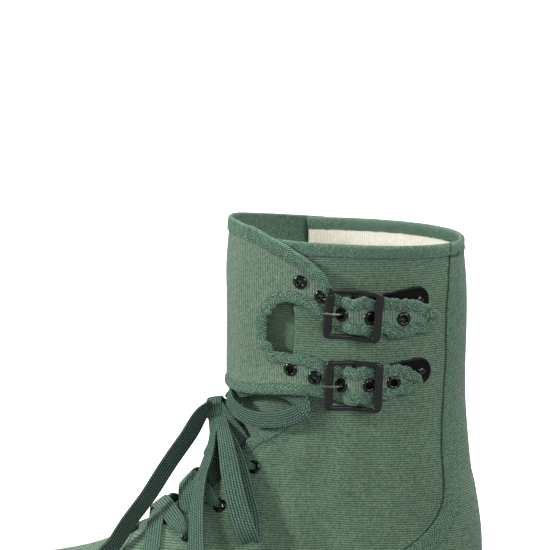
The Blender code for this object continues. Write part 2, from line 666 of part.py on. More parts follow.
# Outline, round the flap. "round": s and z at a place round the shaft;
# "side": x and z as seen from the lateral side.
FLAP_COLUMNS = ("view", "a", "z")
FLAP = (
    ("round", .470, 150.5), ("round", .470, 227.0), ("round", .36, 228.6),
    ("round", .20, 231.6), ("round", .08, 234.6), ("round", -.05, 235.4),
    ("side", 25.0, 235.3), ("side", 32.6, 233.6), ("side", 39.3, 230.5),
    ("side", 48.8, 225.8), ("side", 55.5, 221.2), ("side", 62.2, 216.3),
    ("side", 66.1, 212.4), ("side", 68.3, 207.6), ("side", 69.9, 203.4),
    ("side", 74.4, 201.8), ("side", 85.1, 201.2), ("side", 94.3, 200.6),
    ("side", 106.8, 199.4), ("side", 114.6, 197.2), ("side", 119.6, 193.4),
    ("side", 121.6, 188.3), ("side", 118.0, 182.4), ("side", 112.0, 180.6),
    ("side", 102.2, 180.4), ("side", 92.0, 181.4), ("side", 83.8, 182.2),
    ("side", 76.0, 183.0), ("side", 69.7, 184.6), ("side", 64.3, 188.2),
    ("side", 59.6, 192.4), ("side", 55.2, 195.8), ("side", 49.6, 197.2),
    ("side", 43.2, 196.8), ("side", 38.8, 193.2), ("side", 37.2, 186.5),
    ("side", 37.2, 179.5), ("side", 39.0, 173.2), ("side", 43.2, 171.4),
    ("side", 49.7, 170.6), ("side", 56.0, 170.9), ("side", 60.4, 169.6),
    ("side", 64.3, 167.4), ("side", 68.3, 165.8), ("side", 78.1, 165.1),
    ("side", 89.8, 165.7), ("side", 99.9, 166.1), ("side", 105.2, 165.2),
    ("side", 109.8, 162.8), ("side", 112.9, 159.4), ("side", 113.8, 156.8),
    ("side", 112.8, 153.2), ("side", 109.0, 150.8), ("side", 102.5, 149.2),
    ("side", 94.3, 148.0), ("side", 84.1, 145.8), ("side", 77.0, 145.8),
    ("side", 69.9, 147.4), ("side", 62.5, 148.2), ("side", 53.7, 149.8),
    ("side", 46.4, 149.8), ("side", 39.1, 149.0), ("side", 29.4, 147.9),
    ("round", -.06, 146.9), ("round", .08, 147.1), ("round", .22, 148.5),
    ("round", .36, 149.9),
)
# Eyelets of the straps: x and z from the lateral side.
STRAP_EYELETS = (
    ("upper", ((53.6, 208.1), (64.0, 201.2), (73.8, 192.4), (88.1, 190.6), (104.0, 189.6))),
    ("lower", ((48.9, 162.6), (60.7, 159.1), (73.8, 155.7), (87.6, 155.8), (99.5, 156.9))),
)


def flap_low(u, s):
    """Inner face of the flap and its straps above the form."""
    p = blend(LAT_P, u, s)
    x, z = p[..., 0], p[..., 2]
    middle = np.where(z > STRAPS_PART_Z, BUCKLES[0][1], BUCKLES[1][1])
    along = (x - middle) * 1.05
    lift = np.where((np.asarray(s) < 0) & (along > -20), STRAP_LIFT(along), FLAP_LIFT)
    down = np.clip((159.0 - z) / 7.0, 0, 1)
    place = np.clip((-np.asarray(s) - .055) / .06, 0, 1) * np.clip((.37 + np.asarray(s)) / .05, 0, 1)
    down, place = down * down * (3 - 2 * down), place * place * (3 - 2 * place)
    return lift + (TUCK_LIFT - FLAP_LIFT) * down * place


def flap_high(u, s):
    return flap_low(u, s) + FLAP_THICK


def make_flap():
    outline = [round_us(a, z) if view == "round" else side_us(a, z) for view, a, z in FLAP]
    holes = [disc_us(*side_us(x, z), HOLE_R) for _, row in STRAP_EYELETS for x, z in row]
    def near_buckle(q):
        p = blend(LAT_P, q[:, 0], q[:, 1] / S_MM)
        return (np.abs(p[:, 0] - BUCKLES[0][1]) < 18) & (q[:, 1] < 0)
    return form_panel("cuff_flap", outline, holes, flap_low, flap_high, 8.4, "flap_canvas", 4.5,
                      (3.2, near_buckle))


# ------------------------------------------------------------------ buckles
FRAME_HALF = (14.6, 12.8)      # half length along the strap, half height
FRAME_IN = (10.5, 10.6)        # inside of the bars and of the rails
FRAME_CORNER = 2.4
MIDDLE_BAR = 1.2               # half width
FRAME_LOW = natural_spline((-16, -14.6, -11, 0, 11, 14.6, 16),
                           (3.9, 3.9, 3.8, 1.5, 5.4, 5.5, 5.5))
SIDE_STRETCH = 1 / 1.05        # side view length of a millimetre out on the buckles


def buckle_us(b, lx, ly):
    """(u, s) for a place on a buckle: lx along the strap, ly across."""
    t = math.radians(b[3])
    x = b[1] + (lx * math.cos(t) - ly * math.sin(t)) * SIDE_STRETCH
    z = b[2] + lx * math.sin(t) + ly * math.cos(t)
    return side_us(x, z)


def local_panel(name, b, outline, holes, low, high, step, look):
    """Panel on a buckle's own axes, between offsets that depend on lx."""
    v, f = triangulate(np.array(outline, float), [np.array(h, float) for h in holes], [], step)
    us = np.array([buckle_us(b, x, y) for x, y in v])
    verts, faces = sheet_solid(point(us[:, 0], us[:, 1], high(v[:, 0])),
                               point(us[:, 0], us[:, 1], low(v[:, 0])), f)
    return make_object(name, verts, faces, look, 35)


def rounded(half_x, half_y, r, n=3, cx=0.0):
    out = []
    for sx, sy, a0 in ((1, 1, 0), (-1, 1, 90), (-1, -1, 180), (1, -1, 270)):
        for k in range(n + 1):
            a = math.radians(a0 + 90 * k / n)
            out.append((cx + sx * (half_x - r) + r * math.cos(a),
                        sy * (half_y - r) + r * math.sin(a)))
    return out


def make_buckle(b):
    hx, hy = FRAME_HALF
    ix, iy = FRAME_IN
    hole_half = (ix - MIDDLE_BAR) / 2
    outline = resample(np.array(rounded(hx, hy, FRAME_CORNER)), 5.0)
    holes = [resample(np.array(rounded(hole_half, iy, 1.0, 2, side * (MIDDLE_BAR + hole_half))), 5.0)
             for side in (-1, 1)]
    thick = lambda x: np.where(np.abs(x) < 3.0, BAR_OVER - .4, BAR_OVER)
    local_panel("buckle_frame_" + b[0], b, outline, holes, FRAME_LOW,
                lambda x: FRAME_LOW(x) + thick(x), 9.0, "black_metal")
    # prong: from the middle bar, up through the strap's hole, over the front bar
    path = ((-1.9, 2.2), (-4.3, 2.1), (-5.4, 3.0), (-6.3, 4.7), (-7.5, 6.4), (-9.4, 7.2), (-14.9, 7.2))
    hole = STRAP_EYELETS[0 if b[0] == "upper" else 1][1][2]
    shift = (hole[0] - b[1]) / SIDE_STRETCH + 6.3
    path = np.array(path) + np.array([(shift if 0 < k < 5 else 0.0, 0.0) for k in range(7)])
    half_w, half_t = .85, .6
    verts = []
    for k, (x, o) in enumerate(path):
        d = path[min(k + 1, len(path) - 1)] - path[max(k - 1, 0)]
        d = d / np.linalg.norm(d)
        n = np.array([d[1], -d[0]])
        for sn, sy in ((1, 1), (1, -1), (-1, -1), (-1, 1)):
            q = np.array([x, o]) + n * half_t * sn
            us = buckle_us(b, q[0], b[6] + half_w * sy)
            verts.append(point(us[0], us[1], q[1]))
    faces = [(0, 1, 2, 3), tuple(4 * (len(path) - 1) + i for i in range(4))]
    for k in range(len(path) - 1):
        faces += [(4 * k + i, 4 * k + (i + 1) % 4, 4 * k + 4 + (i + 1) % 4, 4 * k + 4 + i)
                  for i in range(4)]
    make_object("buckle_prong_" + b[0], verts, faces, "prong_metal")
    # chape: plate behind the strap, from the middle bar to its rivet
    t = math.radians(b[3])
    dx, dz = (b[4] - b[1]) / SIDE_STRETCH, b[5] - b[2]
    rx, ry = dx * math.cos(t) + dz * math.sin(t), -dx * math.sin(t) + dz * math.cos(t)
    length = math.hypot(rx, ry)
    e, f = np.array([rx, ry]) / length, np.array([-ry, rx]) / length
    half, nose = 7.0, 5.0
    plate = [e * 2.2 - f * half] + [e * d - f * half for d in np.linspace(8, length - 1.5, 4)]
    plate += [e * (length - 1.5 + (nose + 1.5) * math.sin(a)) - f * half * math.cos(a)
              for a in np.linspace(0, math.pi, 9)[1:-1]]
    plate += [e * d + f * half for d in np.linspace(length - 1.5, 8, 4)] + [e * 2.2 + f * half]
    low = lambda x: np.full(len(x), PLATE_LOW)
    high = lambda x: np.full(len(x), PLATE_LOW + PLATE_THICK)
    local_panel("buckle_chape_" + b[0], b, plate, [], low, high, 8.0, "black_metal")
    us = buckle_us(b, rx, ry + 1.6)
    button("chape_rivet_" + b[0], us, PLATE_LOW + PLATE_THICK + .25,
           ((1.7, 0.0), (1.6, .5), (1.0, .8)), "black_metal")


def local_axes(us, off):
    """Origin and axes of a small flat piece on the form; off(u, s) is its height."""
    f = lambda u, s: point(u, s, off(u, s) if callable(off) else off)
    u, s = us
    p = f(u, s)
    a = f(u + .8, s) - f(u - .8, s)
    b = f(u, s + .006) - f(u, s - .006)
    n = np.cross(a, b)
    n /= np.linalg.norm(n)
    a /= np.linalg.norm(a)
    return p, a, np.cross(n, a), n


def button(name, us, off, profile, look, sides=8):
    """Solid turned about the form's normal; the profile runs from rim to top."""
    p, a, b, n = local_axes(us, off)
    verts, m = [], len(profile)
    for k in range(sides):
        c = 2 * math.pi * k / sides
        d = math.cos(c) * a + math.sin(c) * b
        verts += [p + d * r + n * h for r, h in profile]
    faces = [tuple(k * m for k in range(sides)), tuple(k * m + m - 1 for k in range(sides))]
    for k in range(sides):
        j = (k + 1) % sides
        faces += [(k * m + i, j * m + i, j * m + i + 1, k * m + i + 1) for i in range(m - 1)]
    return make_object(name, verts, faces, look)


def eyelet(name, us, off, depth, gap=GAP):
    """Rolled metal eyelet: flange on the cloth and barrel through it."""
    p, a, b, n = local_axes(us, off)
    ring_ = ((EYELET_HOLE_R, gap + .5), (EYELET_R - .6, gap + .5), (EYELET_R, gap),
             (HOLE_R - .35, gap), (HOLE_R - .35, -depth), (EYELET_HOLE_R, -depth))
    sides, m, verts = 8, len(ring_), []
    for k in range(sides):
        c = 2 * math.pi * k / sides
        d = math.cos(c) * a + math.sin(c) * b
        verts += [p + d * r + n * h for r, h in ring_]
    faces = []
    for k in range(sides):
        j = (k + 1) % sides
        faces += [(k * m + i, j * m + i, j * m + (i + 1) % m, k * m + (i + 1) % m)
                  for i in range(m)]
    return make_object(name, verts, faces, "black_metal")


# ------------------------------------------------------------------ lace
def arm_ends(start, towards, reach=5.0, narrow=1.6, full=16.0):
    """Corners of a lace arm that narrows to its eyelet: shoulders and end."""
    d = (towards - start) / np.linalg.norm(towards - start)
    n = np.array([-d[1], d[0]])
    w = LACE_WIDTH / 2
    return [start + d * full + n * w, start + d * reach + n * narrow,
            start + d * reach - n * narrow, start + d * full - n * w], d, n


def meet(p, d, q, e):
    """Crossing of two lines."""
    t = np.linalg.solve(np.array([d, -e]).T, q - p)
    return p + d * t[0]


def lace_cross(name, upper_row, lower_row):
    """Two crossing lengths of lace between two pairs of eyelets."""
    ends = [flat((upper_row[0], upper_row[1])), flat((upper_row[0], upper_row[2])),
            flat((lower_row[0], lower_row[2])), flat((lower_row[0], lower_row[1]))]
    other = [ends[2], ends[3], ends[0], ends[1]]
    arms = [arm_ends(p, q) for p, q in zip(ends, other)]
    outline = []
    for k in range(4):
        corners, d, n = arms[k]
        nxt, d2, n2 = arms[(k + 1) % 4]
        outline += corners
        a = meet(corners[3], d, nxt[0], d2)
        b = meet(corners[0], d, nxt[3], d2)
        centre = sum(ends) / 4
        mid = (ends[k] + ends[(k + 1) % 4]) / 2
        outline.append(a if np.dot(a - centre, mid - centre) > 0 else b)
    poly = np.array(outline)
    return form_panel(name, poly / (1.0, S_MM), [], LACE_OVER, LACE_OVER + LACE_THICK, 7.0, "lace", 8.0)


LACE_OVER = .75


def lace_strip(name, start, end, reach_end=5.0, narrow_end=1.6):
    """One straight length of lace between two places on the form."""
    a, b = flat(start), flat(end)
    first, _, _ = arm_ends(a, b, full=12.0)
    last, _, _ = arm_ends(b, a, reach=reach_end, narrow=narrow_end, full=max(12.0, reach_end + 2))
    return form_panel(name, np.array(first + last) / (1.0, S_MM), [], LACE_OVER,
                      LACE_OVER + LACE_THICK, 7.0, "lace", 8.0)


def ribbon(name, centres, faces_to, half_width, step=4.5):
    """Flat lace along a smooth route; faces_to: where its flat side looks."""
    c, look = np.array(centres, float), np.array(faces_to, float)
    run = np.concatenate([[0], np.cumsum(np.linalg.norm(np.diff(c, axis=0), axis=1))])
    at = np.linspace(0, run[-1], int(run[-1] / step) + 2)
    path = np.stack([natural_spline(run, c[:, k])(at) for k in range(3)], 1)
    n = np.stack([np.interp(at, run, look[:, k]) for k in range(3)], 1)
    w = np.interp(at, run, half_width)
    t = np.gradient(path, axis=0)
    t /= np.linalg.norm(t, axis=1, keepdims=True)
    side = np.cross(n, t)
    side /= np.linalg.norm(side, axis=1, keepdims=True)
    n = np.cross(t, side)
    h = LACE_THICK / 2
    verts = []
    for k in range(len(at)):
        for a, b in ((-1, 0), (-.8, 1), (.8, 1), (1, 0), (.8, -1), (-.8, -1)):
            verts.append(path[k] + side[k] * w[k] * a + n[k] * h * b)
    m, last = 6, 6 * (len(at) - 1)
    faces = [tuple(range(m)), tuple(last + i for i in range(m))]
    for k in range(len(at) - 1):
        faces += [(m * k + i, m * k + (i + 1) % m, m * k + m + (i + 1) % m, m * k + m + i)
                  for i in range(m)]
    return make_object(name, verts, faces, "lace")


KNOT_AT = (9.6, -1.0, 134.0)
KNOT_HALF = (6.0, 6.4, 5.4)
# Routes of the bow. "form": x and z as seen from the lateral side, then the height
# over the form; "free": x, y, z. The last column is half the width there.
ROUTE_COLUMNS = ("kind", "a", "b", "c", "half")
FREE_LOOKS = (-.42, -.78, .46)     # where the flat side of a free length looks
END_FRONT = (
    ("free", 1.6, -4.6, 136.0, 3.0), ("free", -2.0, -5.6, 124.0, 4.6),
    ("free", -10.0, -8.0, 113.5, 5.2), ("free", -17.6, -10.8, 102.5, 5.2),
    ("free", -24.8, -14.0, 91.6, 5.2), ("free", -34.6, -18.4, 79.0, 5.2),
    ("free", -43.0, -24.0, 67.0, 5.2), ("form", -48.0, 56.0, 4.6, 5.2),
    ("form", -52.0, 51.5, 4.5, 5.2), ("form", -56.0, 46.5, 4.4, 5.2),
    ("form", -60.0, 41.0, 4.3, 5.2), ("form", -62.5, 37.0, 4.2, 5.2),
)
END_SIDE = (
    ("form", 13.0, 120.6, 6.4, 2.4), ("form", 10.6, 112.0, 5.7, 3.6),
    ("form", 6.6, 102.0, 5.0, 4.2), ("form", 3.2, 90.4, 4.8, 4.6),
    ("form", 1.4, 78.4, 4.7, 5.0), ("form", .8, 67.0, 4.6, 5.2),
    ("form", .4, 56.0, 4.6, 5.2),
)
LOOP_FRONT = (
    ("free", 10.6, -13.0, 127.2, 3.0), ("form", 20.4, 119.4, 8.0, 4.2),
    ("form", 21.8, 107.6, 9.2, 5.2), ("form", 23.4, 93.8, 9.8, 5.2),
    ("form", 25.6, 82.4, 9.8, 5.2), ("form", 27.2, 76.2, 9.0, 5.2),
    ("form", 28.0, 73.4, 7.4, 5.2), ("form", 28.4, 72.4, 6.0, 5.2),
    ("form", 28.6, 73.6, 4.8, 5.2), ("form", 28.8, 77.0, 3.9, 5.2),
    ("form", 28.0, 84.6, 3.8, 5.2), ("form", 26.0, 95.0, 3.8, 5.2),
    ("form", 24.0, 106.6, 3.8, 5.0), ("form", 22.2, 117.0, 4.0, 4.0),
    ("form", 20.8, 123.6, 4.3, 2.8),
)
LOOP_SIDE = (
    ("form", 22.4, 140.6, 6.4, 3.2), ("form", 25.2, 138.0, 5.8, 3.9),
    ("form", 29.2, 135.8, 5.4, 4.2), ("form", 36.6, 135.2, 5.0, 4.3),
    ("form", 46.0, 137.2, 4.8, 4.4), ("form", 51.4, 139.6, 4.6, 4.5),
    ("form", 54.4, 142.2, 3.9, 4.6), ("form", 55.0, 144.6, 3.0, 4.6),
    ("form", 53.0, 146.2, 1.9, 4.4), ("form", 48.5, 147.7, 1.5, 3.9),
    ("form", 40.6, 148.2, 1.4, 3.4), ("form", 32.0, 146.8, 1.5, 3.3),
    ("form", 25.6, 144.4, 1.8, 3.0), ("form", 22.4, 142.8, 2.2, 2.4),
)
BOW = (("lace_end_front", END_FRONT, 6.0), ("lace_end_side", END_SIDE, 5.0),
       ("lace_loop_front", LOOP_FRONT, 4.2), ("lace_loop_side", LOOP_SIDE, 4.5))


def route(rows):
    """Points of a route of the bow, and where the lace's flat side looks there."""
    pts, looks = [], []
    for kind, a, b, c, _ in rows:
        if kind == "form":
            us = side_us(a, b)
            pts.append(point(us[0], us[1], c))
            looks.append(normal_at(us[0], us[1]))
        else:
            pts.append(np.array((a, b, c)))
            looks.append(np.array(FREE_LOOKS))
    return np.array(pts), np.array(looks)


def make_lace():
    for k in range(len(LACE_EYELETS) - 1):
        lace_cross("lace_cross_%d" % (k + 1), LACE_EYELETS[k], LACE_EYELETS[k + 1])
    high = LACE_EYELETS[0]
    lace_strip("lace_tie_lateral", (high[0], high[1]), (262.0, -.004), 9.5, 3.0)
    lace_strip("lace_tie_medial", (high[0], high[2]), (262.0, .004), 9.5, 3.0)
    # knot: rounded block
    verts, faces, m, n = [], [], 8, 5
    power = lambda v: math.copysign(abs(v) ** .75, v)
    for i in range(1, n):
        f = math.pi * i / n
        for j in range(m):
            g = 2 * math.pi * (j + .5) / m
            d = (power(math.sin(f)) * power(math.cos(g)), power(math.sin(f)) * power(math.sin(g)),
                 power(math.cos(f)))
            verts.append(np.array(KNOT_AT) + np.array(KNOT_HALF) * d)
    faces = [tuple(range(m)), tuple((n - 2) * m + j for j in range(m))]
    for i in range(n - 2):
        faces += [(i * m + j, i * m + (j + 1) % m, (i + 1) * m + (j + 1) % m, (i + 1) * m + j)
                  for j in range(m)]
    make_object("lace_knot", verts, faces, "lace")
    for name, rows, step in BOW:
        pts, looks = route(rows)
        ribbon(name, pts, looks, [r[4] for r in rows], step)


make_flap()
for row_ in BUCKLES:
    make_buckle(row_)
for strap_, places_ in STRAP_EYELETS:
    for k_, (x_, z_) in enumerate(places_):
        eyelet("strap_eyelet_%s_%d" % (strap_, k_ + 1), side_us(x_, z_), flap_high, -.12,
               .6 if k_ in (2, 3) else GAP)
for k_, (u_, lat_, med_) in enumerate(LACE_EYELETS):
    eyelet("lace_eyelet_lateral_%d" % (k_ + 1), (u_, lat_), 0.0, WALL)
    eyelet("lace_eyelet_medial_%d" % (k_ + 1), (u_, med_), 0.0, WALL)
make_lace()
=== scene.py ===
"""Looks of the canvas field boot: cloth, tape, lace, metal and rubber round the CAD frame.

Frame: toe -X, heel +X, lateral (outer) side -Y, medial side +Y, +Z up.
Tables are in millimetres; meshes are written in metres.
"""
import math

import bmesh
import bpy
import numpy as np
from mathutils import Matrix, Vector, kdtree, noise
from mathutils.geometry import delaunay_2d_cdt


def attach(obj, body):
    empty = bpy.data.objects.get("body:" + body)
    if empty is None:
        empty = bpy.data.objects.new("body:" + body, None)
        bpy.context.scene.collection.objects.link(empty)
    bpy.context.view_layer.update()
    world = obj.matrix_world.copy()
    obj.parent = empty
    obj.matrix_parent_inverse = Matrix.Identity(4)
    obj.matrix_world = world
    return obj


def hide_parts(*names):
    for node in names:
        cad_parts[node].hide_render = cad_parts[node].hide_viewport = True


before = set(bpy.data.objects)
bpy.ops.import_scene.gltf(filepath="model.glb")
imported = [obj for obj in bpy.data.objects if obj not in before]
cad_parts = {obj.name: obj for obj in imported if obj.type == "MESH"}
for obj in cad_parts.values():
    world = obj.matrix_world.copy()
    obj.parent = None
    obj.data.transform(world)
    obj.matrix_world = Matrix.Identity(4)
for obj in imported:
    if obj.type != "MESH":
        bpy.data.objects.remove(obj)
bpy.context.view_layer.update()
scene = bpy.context.scene
scene.view_settings.view_transform = "Standard"

MM = 0.001
SHIFT = np.array([0.0, 1.5, 0.0])

# ------------------------------------------------------------------ camera
TARGET = np.array([40.3, 0.0, 204.2])
DISTANCE, ELEVATION, FOCUS_PX, FRAME_PX = 1800.0, 10.0, 3510.0, 550.0


def make_camera():
    e = math.radians(ELEVATION)
    back = np.array([0.0, -math.cos(e), math.sin(e)])
    data = bpy.data.cameras.new("main_camera")
    data.sensor_width = 36.0
    data.lens = FOCUS_PX * 36.0 / FRAME_PX
    data.clip_start, data.clip_end = 0.05, 60.0
    cam = bpy.data.objects.new("main_camera", data)
    scene.collection.objects.link(cam)
    cam.location = (TARGET + SHIFT + back * DISTANCE) * MM
    cam.rotation_mode = "QUATERNION"
    cam.rotation_quaternion = Vector(-back).to_track_quat("-Z", "Y")
    scene.camera = cam


make_camera()

# ------------------------------------------------------------------ form
FORM_COLUMNS = ("tx", "tz", "bx", "bz", "yc", "wl", "wm", "t0", "nf", "nb")
FORM = (
    (-143.9, 32.0, -143.9, 0.0, 8.0, 3.0, 3.0, .34, 2.3, 8.0),
    (-142.6, 39.0, -142.6, 0.0, 8.0, 11.0, 10.5, .44, 2.4, 8.0),
    (-139.4, 43.4, -139.4, 0.0, 7.8, 19.0, 18.0, .50, 2.4, 8.0),
    (-133.5, 46.8, -133.5, 0.0, 7.4, 27.0, 25.5, .53, 2.4, 8.0),
    (-124.0, 49.4, -124.0, 0.0, 6.6, 34.6, 32.6, .56, 2.4, 8.0),
    (-111.0, 51.4, -111.0, 0.0, 5.4, 41.0, 38.4, .58, 2.4, 8.0),
    (-95.0, 53.4, -95.0, 0.0, 3.8, 45.6, 42.6, .60, 2.35, 8.0),
    (-77.0, 56.2, -76.5, 0.0, 2.2, 48.6, 44.8, .63, 2.3, 8.0),
    (-60.0, 60.0, -58.0, 0.0, 1.0, 49.4, 44.2, .66, 2.2, 8.0),
    (-46.0, 65.0, -40.0, 0.0, 0.2, 48.2, 41.4, .70, 2.1, 8.0),
    (-33.0, 72.5, -20.0, 0.0, 0.0, 45.6, 38.4, .72, 2.0, 7.5),
    (-20.0, 81.8, 6.0, 0.0, 0.0, 42.6, 36.4, .72, 2.0, 7.0),
    (-8.5, 91.5, 36.0, 0.0, 0.0, 40.0, 35.6, .68, 2.0, 6.5),
    (0.5, 101.5, 68.0, 0.0, 0.0, 38.4, 35.8, .62, 2.0, 6.0),
    (7.5, 112.5, 100.0, 0.0, 0.0, 37.4, 36.2, .58, 2.05, 5.2),
    (12.5, 123.5, 127.0, 0.0, 0.0, 37.0, 36.4, .54, 2.1, 4.3),
    (15.6, 133.0, 144.5, 7.0, 0.0, 37.0, 36.6, .52, 2.15, 3.3),
    (17.2, 140.5, 147.0, 29.0, 0.0, 37.3, 36.9, .51, 2.2, 2.8),
    (18.0, 148.0, 146.8, 53.0, 0.0, 37.8, 37.4, .51, 2.2, 2.5),
    (18.4, 157.0, 145.3, 79.0, 0.0, 38.6, 38.2, .51, 2.2, 2.4),
    (18.6, 169.0, 141.4, 106.0, 0.0, 39.6, 39.2, .51, 2.2, 2.35),
    (18.7, 183.0, 138.2, 139.0, 0.0, 40.8, 40.4, .51, 2.2, 2.3),
    (18.9, 199.0, 138.2, 172.0, 0.0, 42.2, 41.8, .51, 2.2, 2.3),
    (19.6, 215.0, 138.0, 202.0, 0.0, 43.4, 43.0, .50, 2.2, 2.3),
    (20.6, 231.0, 136.0, 227.0, 0.0, 44.2, 43.8, .50, 2.2, 2.3),
    (21.6, 246.0, 134.5, 250.0, 0.0, 44.8, 44.4, .50, 2.2, 2.3),
)


def natural_spline(knots, values):
    """Natural cubic spline through (knots, values), as a function."""
    k, v = np.asarray(knots, float), np.asarray(values, float)
    n, h = len(k), np.diff(k)
    a, r = np.zeros((n, n)), np.zeros(n)
    a[0, 0] = a[-1, -1] = 1.0
    for i in range(1, n - 1):
        a[i, i - 1], a[i, i], a[i, i + 1] = h[i - 1], 2 * (h[i - 1] + h[i]), h[i]
        r[i] = 6 * ((v[i + 1] - v[i]) / h[i] - (v[i] - v[i - 1]) / h[i - 1])
    m = np.linalg.solve(a, r)

    def f(x):
        x = np.clip(np.asarray(x, float), k[0], k[-1])
        i = np.clip(np.searchsorted(k, x) - 1, 0, n - 2)
        d, e = x - k[i], k[i + 1] - x
        return ((m[i] * e**3 + m[i + 1] * d**3) / (6 * h[i])
                + (v[i] / h[i] - m[i] * h[i] / 6) * e
                + (v[i + 1] / h[i] - m[i + 1] * h[i] / 6) * d)
    return f


def make_form(rows_n=448, half_n=121):
    """Lattice of the last: points for u (along the sections) and s (round a
    section: -1 bottom by the lateral side, 0 top or front, +1 bottom by the medial
    side, even along the arc), with outward normals."""
    rows = np.array(FORM, float)
    top, bot = np.diff(rows[:, 0:2], axis=0), np.diff(rows[:, 2:4], axis=0)
    step = np.sqrt(0.5 * ((top**2).sum(1) + (bot**2).sum(1)))
    knots = np.concatenate([[0.0], np.cumsum(step)])
    u = np.linspace(0.0, knots[-1], rows_n)
    c = {name: natural_spline(knots, rows[:, i])(u)[:, None]
         for i, name in enumerate(FORM_COLUMNS)}
    th = np.linspace(0.0, math.pi, 481)[None, :]
    front = th <= math.pi / 2
    n = np.where(front, c["nf"], c["nb"])
    co, si = np.abs(np.cos(th)), np.abs(np.sin(th))
    rho = (co**n + si**n)**(1.0 / n)
    t = np.where(front, c["t0"] * (1 - co / rho), c["t0"] + (1 - c["t0"]) * co / rho)
    halves = []
    for side, width in ((-1, "wl"), (1, "wm")):
        curve = np.stack([c["tx"] + (c["bx"] - c["tx"]) * t,
                          c["yc"] + side * c[width] * si / rho,
                          c["tz"] + (c["bz"] - c["tz"]) * t], -1)
        arc = np.concatenate([np.zeros((rows_n, 1)), np.cumsum(
            np.linalg.norm(np.diff(curve, axis=1), axis=2), axis=1)], 1)
        even = np.linspace(0.0, 1.0, half_n)
        half = np.empty((rows_n, half_n, 3))
        for i in range(rows_n):
            for j in range(3):
                half[i, :, j] = np.interp(even * arc[i, -1], arc[i], curve[i, :, j])
        halves.append(half)
    grid = np.concatenate([halves[0][:, :0:-1], halves[1]], axis=1)
    normal = np.cross(np.gradient(grid, axis=0), np.gradient(grid, axis=1))
    normal /= np.maximum(np.linalg.norm(normal, axis=2, keepdims=True), 1e-9)
    return u, np.linspace(-1.0, 1.0, 2 * half_n - 1), grid, normal


LAT_U, LAT_S, LAT_P, LAT_N = make_form()
U_END = float(LAT_U[-1])
S_MM = 140.0
HALF = (len(LAT_S) - 1) // 2


def blend(field, u, s):
    """Bilinear reading of a lattice field."""
    fu = np.clip(np.asarray(u, float) / U_END, 0, 1) * (len(LAT_U) - 1)
    fs = (np.clip(np.asarray(s, float), -1, 1) + 1) / 2 * (len(LAT_S) - 1)
    i = np.minimum(fu.astype(int), len(LAT_U) - 2)
    j = np.minimum(fs.astype(int), len(LAT_S) - 2)
    a, b = (fu - i)[..., None], (fs - j)[..., None]
    return ((field[i, j] * (1 - a) + field[i + 1, j] * a) * (1 - b)
            + (field[i, j + 1] * (1 - a) + field[i + 1, j + 1] * a) * b)


def normal_at(u, s):
    n = blend(LAT_N, u, s)
    return n / np.linalg.norm(n, axis=-1, keepdims=True)


def point(u, s, off=0.0):
    """Point of the form, moved out along its normal."""
    return blend(LAT_P, u, s) + normal_at(u, s) * np.asarray(off, float)[..., None]


TREES = {}
for key_, cols_ in ((-1, range(0, HALF + 1)), (1, range(HALF, 2 * HALF + 1))):
    tree_ = kdtree.KDTree(len(LAT_U) * len(cols_))
    for i_ in range(len(LAT_U)):
        for j_ in cols_:
            tree_.insert((LAT_P[i_, j_, 0], 0.0, LAT_P[i_, j_, 2]), i_ * len(LAT_S) + j_)
    tree_.balance()
    TREES[key_] = tree_


def side_us(x, z, side=-1):
    """(u, s) of the form's points that are seen at (x, z) from the given side."""
    x, z = np.atleast_1d(np.asarray(x, float)), np.atleast_1d(np.asarray(z, float))
    tree = TREES[side]
    index = np.array([tree.find((a, 0.0, b))[1] for a, b in zip(x, z)])
    u, s = LAT_U[index // len(LAT_S)].copy(), LAT_S[index % len(LAT_S)].copy()
    lo, hi = (-1.0, 0.0) if side < 0 else (0.0, 1.0)
    for _ in range(12):
        p = blend(LAT_P, u, s)
        pu = blend(LAT_P, u + .5, s) - blend(LAT_P, u - .5, s)
        s1, s0 = np.minimum(s + .004, hi), np.maximum(s - .004, lo)
        ps = (blend(LAT_P, u, s1) - blend(LAT_P, u, s0)) / (s1 - s0)[:, None]
        det = pu[:, 0] * ps[:, 2] - ps[:, 0] * pu[:, 2]
        ok = np.abs(det) > 1e-6
        det = np.where(ok, det, 1.0)
        dx, dz = x - p[:, 0], z - p[:, 2]
        du = np.where(ok, (dx * ps[:, 2] - ps[:, 0] * dz) / det, 0)
        ds = np.where(ok, (pu[:, 0] * dz - dx * pu[:, 2]) / det, 0)
        u = np.clip(u + np.clip(du, -4, 4), 0, U_END)
        s = np.clip(s + np.clip(ds, -.04, .04), lo, hi)
    return u, s


def round_us(s, z):
    """(u, s) on the shaft at height z, at the place s round it."""
    j = (s + 1) / 2 * (len(LAT_S) - 1)
    j0 = min(int(j), len(LAT_S) - 2)
    column = LAT_P[:, j0, 2] * (1 - (j - j0)) + LAT_P[:, j0 + 1, 2] * (j - j0)
    first = int(np.argmin(column[:-60])) if abs(s) > .9 else int(len(LAT_U) * .2)
    return float(np.interp(z, column[first:], LAT_U[first:])), s


def smooth(x):
    x = np.clip(x, 0, 1)
    return x * x * (3 - 2 * x)


def hump(x, middle, half):
    """Soft bump of height 1 round the middle."""
    return np.exp(-((x - middle) / half)**2)


# ------------------------------------------------------------------ meshes
def inside(poly, q):
    """Which of the points q lie inside the polygon."""
    px, py = poly[:, 0], poly[:, 1]
    nx, ny = np.roll(px, -1), np.roll(py, -1)
    flat_ = np.where(ny == py, 1e-12, ny - py)
    out = np.zeros(len(q), bool)
    for a in range(0, len(q), 3000):
        x, y = q[a:a + 3000, 0][:, None], q[a:a + 3000, 1][:, None]
        hit = ((py > y) != (ny > y)) & (x < (nx - px) * (y - py) / flat_ + px)
        out[a:a + 3000] = hit.sum(1) % 2 == 1
    return out


